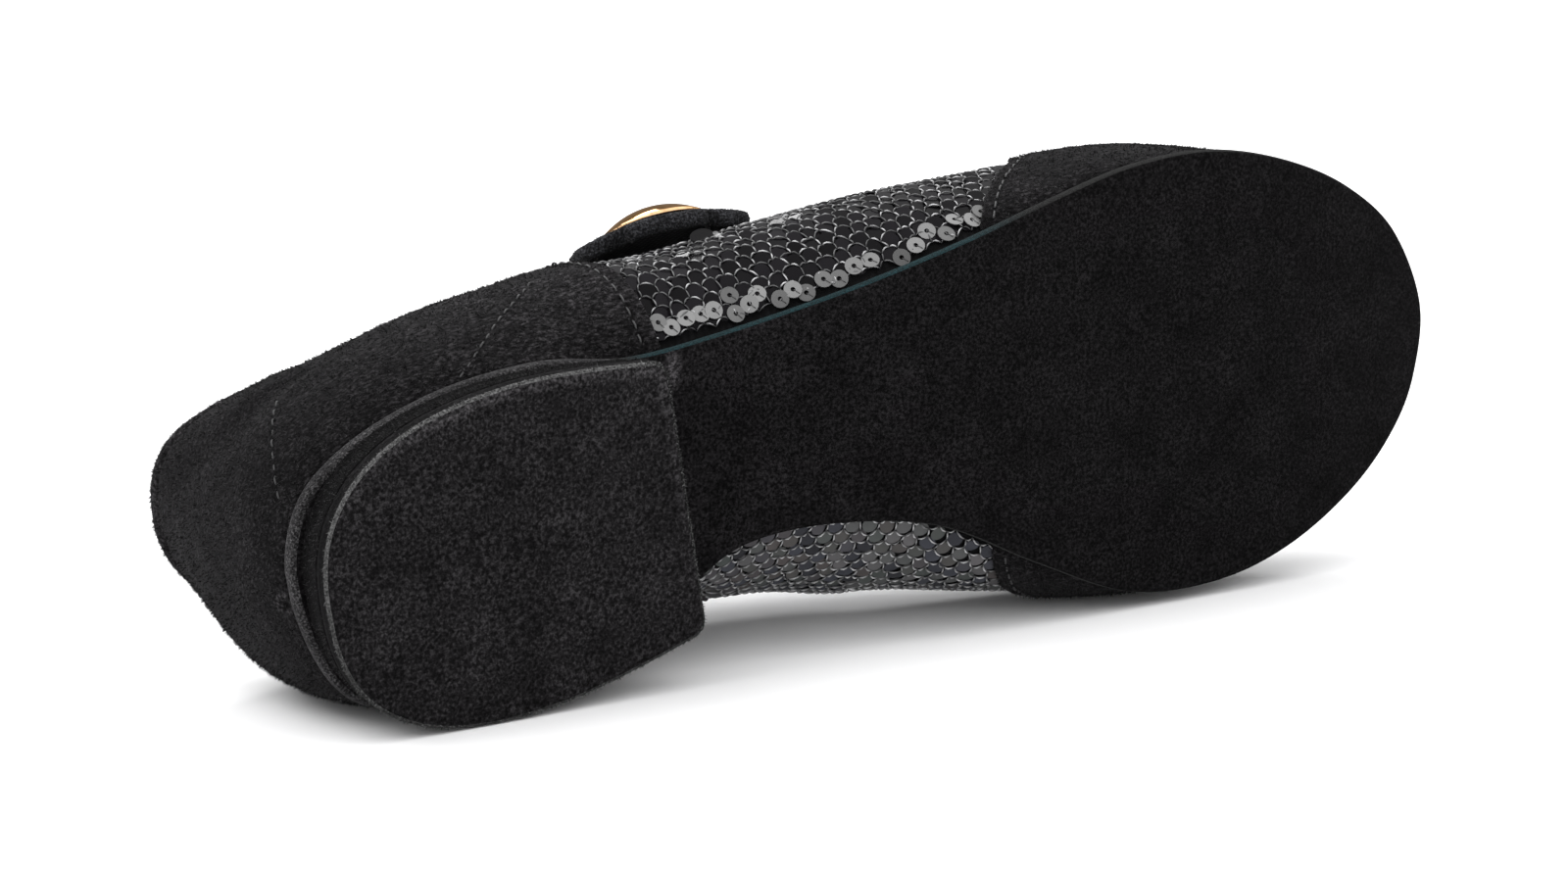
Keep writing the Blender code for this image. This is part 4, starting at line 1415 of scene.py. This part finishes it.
def stitch(start, end, out, radius):
    """One stitch: a thread that rises out of the surface and dips back into it."""
    places = np.linspace(0.0, 1.0, STITCH_RINGS)[:, None]
    path = start + (end - start) * places + out * radius * (1.5 * np.sin(np.pi * places) - 0.6)
    return tube(path, np.broadcast_to(out, path.shape), radius, STITCH_SIDES)


def even_stitches(points, outs):
    """Stitches at even distances along a line of points."""
    reach = lengths_along(points)

    def at(values, place):
        return np.array([np.interp(place, reach, values[:, axis]) for axis in range(3)])

    parts = []
    for k in range(int(reach[-1] / STITCH_PITCH)):
        place = k * STITCH_PITCH
        start, end = at(points, place), at(points, place + STITCH_LENGTH)
        out = unit(at(outs, place))
        sunk = out * RANDOM.normal(0.0, STITCH_UNEVEN)
        parts.append(stitch(start + sunk, end + sunk, out, STITCH_RADIUS))
    return parts


def stitch_run(row, share, lift):
    """Stitches along a line of skin places, at a height over the skin."""
    points, _, _, outs = skin_frame(row, share)
    return even_stitches(points + outs * lift, outs)


def overlay_stitches(rows, inset):
    """Stitches along both free edges of an overlay, set in from them."""
    inset_rows = inset / ROW_SPACING
    shares = np.linspace(0.03, 0.97, 80)
    first, last = rows(shares)
    turn = np.sign(last - first)
    parts = stitch_run(wrapped(first + turn * inset_rows), shares, EDGE_STITCH_LIFT)
    return parts + stitch_run(wrapped(last - turn * inset_rows), shares, EDGE_STITCH_LIFT)


# Seams across the counter: section row and wall share at points along each
COUNTER_SEAM = ((10.55, 0.40), (10.85, 0.29), (11.2, 0.18), (11.5, 0.08), (11.75, 0.0))
BACK_SEAM = ((12.95, 0.50), (13.35, 0.33), (13.72, 0.18), (13.95, 0.1), (14.1, 0.03))
INNER_BACK_SEAM = ((-14.0, 0.06), (-13.95, 0.1), (-13.8, 0.2), (-13.6, 0.34), (-13.4, 0.5))


def seam_stitches(seam):
    """Stitches along a seam given by its table of points."""
    seam = np.array([seam[0], *seam, seam[-1]])
    places = np.linspace(0.0, len(seam) - 3.001, 60)
    line = spline(seam, places)
    return stitch_run(line[:, 0], np.clip(line[:, 1], 0.0, 1.0), SEAM_STITCH_LIFT)


def strap_stitches():
    """A row of stitches round the strap, just inside its edge."""
    inset = STRAP_STITCH_INSET
    lines = ([], [])
    for i in range(121):
        from_tab = inset + (STRAP_LENGTHS[-1] - inset) * (i / 120) ** 1.3
        half = strap_half_width(from_tab) - inset
        for line, side in zip(lines, (-1, 1)):
            point, out = strap_point(from_tab, half * side)
            line.append((point + out * (STRAP_THICKNESS / 2 + STRAP_STITCH_LIFT), out))
    return even_stitches(*[np.array(values) for values in zip(*lines[0][::-1], *lines[1])])


def make_stitches():
    edges = overlay_stitches(toe_cap_rows, EDGE_STITCH_INSET)
    edges += overlay_stitches(counter_rows, COUNTER_STITCH_INSET)
    add_piece("upper_stitches", joined(edges), (STITCH_THREAD,))
    seams = [part for seam in (COUNTER_SEAM, BACK_SEAM, INNER_BACK_SEAM) for part in seam_stitches(seam)]
    add_piece("counter_stitches", joined(seams), (SEAM_THREAD,))
    add_piece("strap_stitches", joined(strap_stitches()), (STITCH_THREAD,))


# Fibres of the nap

FIBRE_BASE = 0.09
FIBRE_ROOT = 0.1
NAP_LEAN = np.array((-0.55, 0.05, -0.45))
NAP_STAND = 0.6
NAP_SPREAD = 0.45
SHORTEST_FIBRE = 0.4
SIDEWAYS = (0.1, 0.2, 0.3)
LEAST_RISE = 0.15
FLOOR_CLEARANCE = 0.2


def shoe_points(made):
    """Points of a piece, back in the shoe's axes."""
    places = np.empty(len(made.data.vertices) * 3)
    made.data.vertices.foreach_get("co", places)
    back = np.array(TO_ROW.inverted())
    return places.reshape(-1, 3) @ back[:3, :3].T + back[:3, 3]


def scattered(made, slots, density):
    """Random places on the faces of some material slots, and the directions out of them."""
    data = made.data
    data.calc_loop_triangles()
    count = len(data.loop_triangles)
    corners, owners = np.empty(count * 3, np.int32), np.empty(count, np.int32)
    data.loop_triangles.foreach_get("vertices", corners)
    data.loop_triangles.foreach_get("material_index", owners)
    a, b, c = np.moveaxis(shoe_points(made)[corners.reshape(-1, 3)[np.isin(owners, slots)]], 1, 0)
    crossed = np.cross(b - a, c - a)
    areas = np.linalg.norm(crossed, axis=1) / 2
    total = int(areas.sum() * density)
    chosen = RANDOM.choice(len(areas), total, p=areas / areas.sum())
    u, v = RANDOM.random((2, total, 1))
    u, v = np.where(u + v > 1, 1 - u, u), np.where(u + v > 1, 1 - v, v)
    places = a[chosen] + (b - a)[chosen] * u + (c - a)[chosen] * v
    return places, unit(crossed)[chosen]


def make_fibres(made, slots, density, length, material):
    """Short fibres that stand out of a piece and lean along its nap, as closed three-sided spikes."""
    roots, outs = scattered(made, slots, density)
    lean = unit(outs * NAP_STAND + NAP_LEAN + RANDOM.normal(0.0, NAP_SPREAD, roots.shape))
    rise = (lean * outs).sum(1, keepdims=True)
    lean = unit(lean + outs * np.maximum(LEAST_RISE - rise, 0.0))
    lengths = length * RANDOM.uniform(SHORTEST_FIBRE, 1.0, (len(roots), 1))
    tips = roots + lean * lengths
    lift = np.array(TO_ROW)[2]
    clear = tips @ lift[:3] + lift[3] > FLOOR_CLEARANCE * MM
    roots, lean, tips, outs = roots[clear], lean[clear], tips[clear], outs[clear]
    side = unit(np.cross(lean, outs + SIDEWAYS))
    other = np.cross(lean, side)
    base = roots - lean * FIBRE_ROOT
    rings = [base + (side * math.cos(turn) + other * math.sin(turn)) * FIBRE_BASE for turn in circle(3)]
    points = np.stack([*rings, tips], 1).reshape(-1, 3)
    firsts = np.arange(len(roots))[:, None, None] * 4
    faces = firsts + np.array(((0, 2, 1), (0, 1, 3), (1, 2, 3), (2, 0, 3)))
    spikes = (points, faces.reshape(-1, 3).tolist())
    grown = add_piece(made.name + "_fibres", spikes, (material,), smooth=False)
    add_tones(grown, RANDOM.random(len(roots)) ** 2, 4)


# Stage

def add_looking(name, data, place, direction, roll=0.0):
    """Puts a camera or a light at a place, looking along a direction."""
    made = bpy.data.objects.new(name, data)
    made.location = place
    made.rotation_mode = "QUATERNION"
    made.rotation_quaternion = direction.to_track_quat("-Z", "Y") @ Quaternion((0, 0, 1), roll)
    bpy.context.scene.collection.objects.link(made)
    return made


def make_camera():
    place, aim = [TO_ROW @ Vector(point) for point in (CAMERA_PLACE, CAMERA_AIM)]
    data = bpy.data.cameras.new("camera")
    data.lens = CAMERA_LENS
    data.sensor_width = CAMERA_SENSOR
    data.clip_start = 0.01
    data.clip_end = 50.0
    bpy.context.scene.camera = add_looking("camera", data, place, aim - place, CAMERA_ROLL)


def add_light(name, kind, direction, distance=0.0, **settings):
    """A light that shines against a direction."""
    data = bpy.data.lights.new(name, kind)
    for setting, value in settings.items():
        setattr(data, setting, value)
    direction = Vector(direction)
    add_looking(name, data, direction * distance, -direction)


def make_floor():
    half, low = 6.0, -0.0002
    data = bpy.data.meshes.new("floor")
    corners = [(-half, -half, low), (half, -half, low), (half, half, low), (-half, half, low)]
    data.from_pydata(corners, [], [(0, 1, 2, 3)])
    made, tree = new_material("floor")
    set_inputs(tree, tree.nodes["Principled BSDF"], {"Base Color": (0.93, 0.93, 0.935, 1.0), "Roughness": 0.6})
    data.materials.append(made)
    floor = bpy.data.objects.new("floor", data)
    bpy.context.scene.collection.objects.link(floor)


# Brightness of the studio's walls from the floor up, and how it falls off behind the shoe
STUDIO_WALLS = ((0.0, 1.3), (0.35, 1.1), (0.7, 0.8), (1.0, 0.7))
STUDIO_BACK = ((0.4, 1.0), (0.7, 0.25))


def make_stage():
    """A pale floor and a studio: bright walls, dim behind, with a softbox, a wide light above and a window."""
    make_floor()
    world = bpy.data.worlds.new("studio")
    world.use_nodes = True
    tree = world.node_tree
    direction = add_node(tree, "TexCoord", {}).outputs["Generated"]
    parts = add_node(tree, "SeparateXYZ", {"Vector": direction}).outputs
    sky = add_ramp(tree, parts["Z"], greys(ONES, STUDIO_WALLS))
    behind = add_ramp(tree, parts["Y"], greys(ONES, STUDIO_BACK))
    dimmed = add_node(tree, "VectorMath", {0: sky, 1: behind}, operation="MULTIPLY")
    set_inputs(tree, tree.nodes["Background"], {"Color": dimmed.outputs["Vector"]})
    bpy.context.scene.world = world
    bpy.context.scene.view_settings.view_transform = "Standard"
    add_light("softbox", "SUN", (-0.55, 0.25, 0.8), angle=math.radians(50), energy=1.7)
    add_light("overhead", "SUN", (0.05, -0.05, 1.0), angle=math.radians(120), energy=2.4)
    add_light("window", "AREA", (0.22, 0.78, 0.58), 1.5, shape="RECTANGLE", size=0.32, size_y=0.26, energy=4.2)


def main():
    make_camera()
    make_stage()
    make_upper()
    make_margin()
    toe_cap = make_toe_cap()
    counter = make_counter()
    roll = make_binding()
    strap = make_strap()
    make_button()
    make_outsole()
    make_insole()
    cover = make_heel_block()
    tread = make_top_piece()
    places_at = cloth_lookup()
    cells = kept_cells(places_at)
    make_net(places_at, cells)
    make_sequins(cells)
    make_loose_sequins()
    make_stitches()
    make_fibres(toe_cap, (0, 2), 2.5, 0.9, FIBRES)
    make_fibres(counter, (0, 2), 2.5, 1.0, FIBRES)
    make_fibres(roll, (0,), 4.0, 1.0, FIBRES)
    make_fibres(strap, (0, 2), 2.5, 0.8, FIBRES)
    make_fibres(cover, (0,), 3.0, 0.7, FIBRES)
    make_fibres(tread, (1,), 14.0, 0.7, PALE_FIBRES)


main()
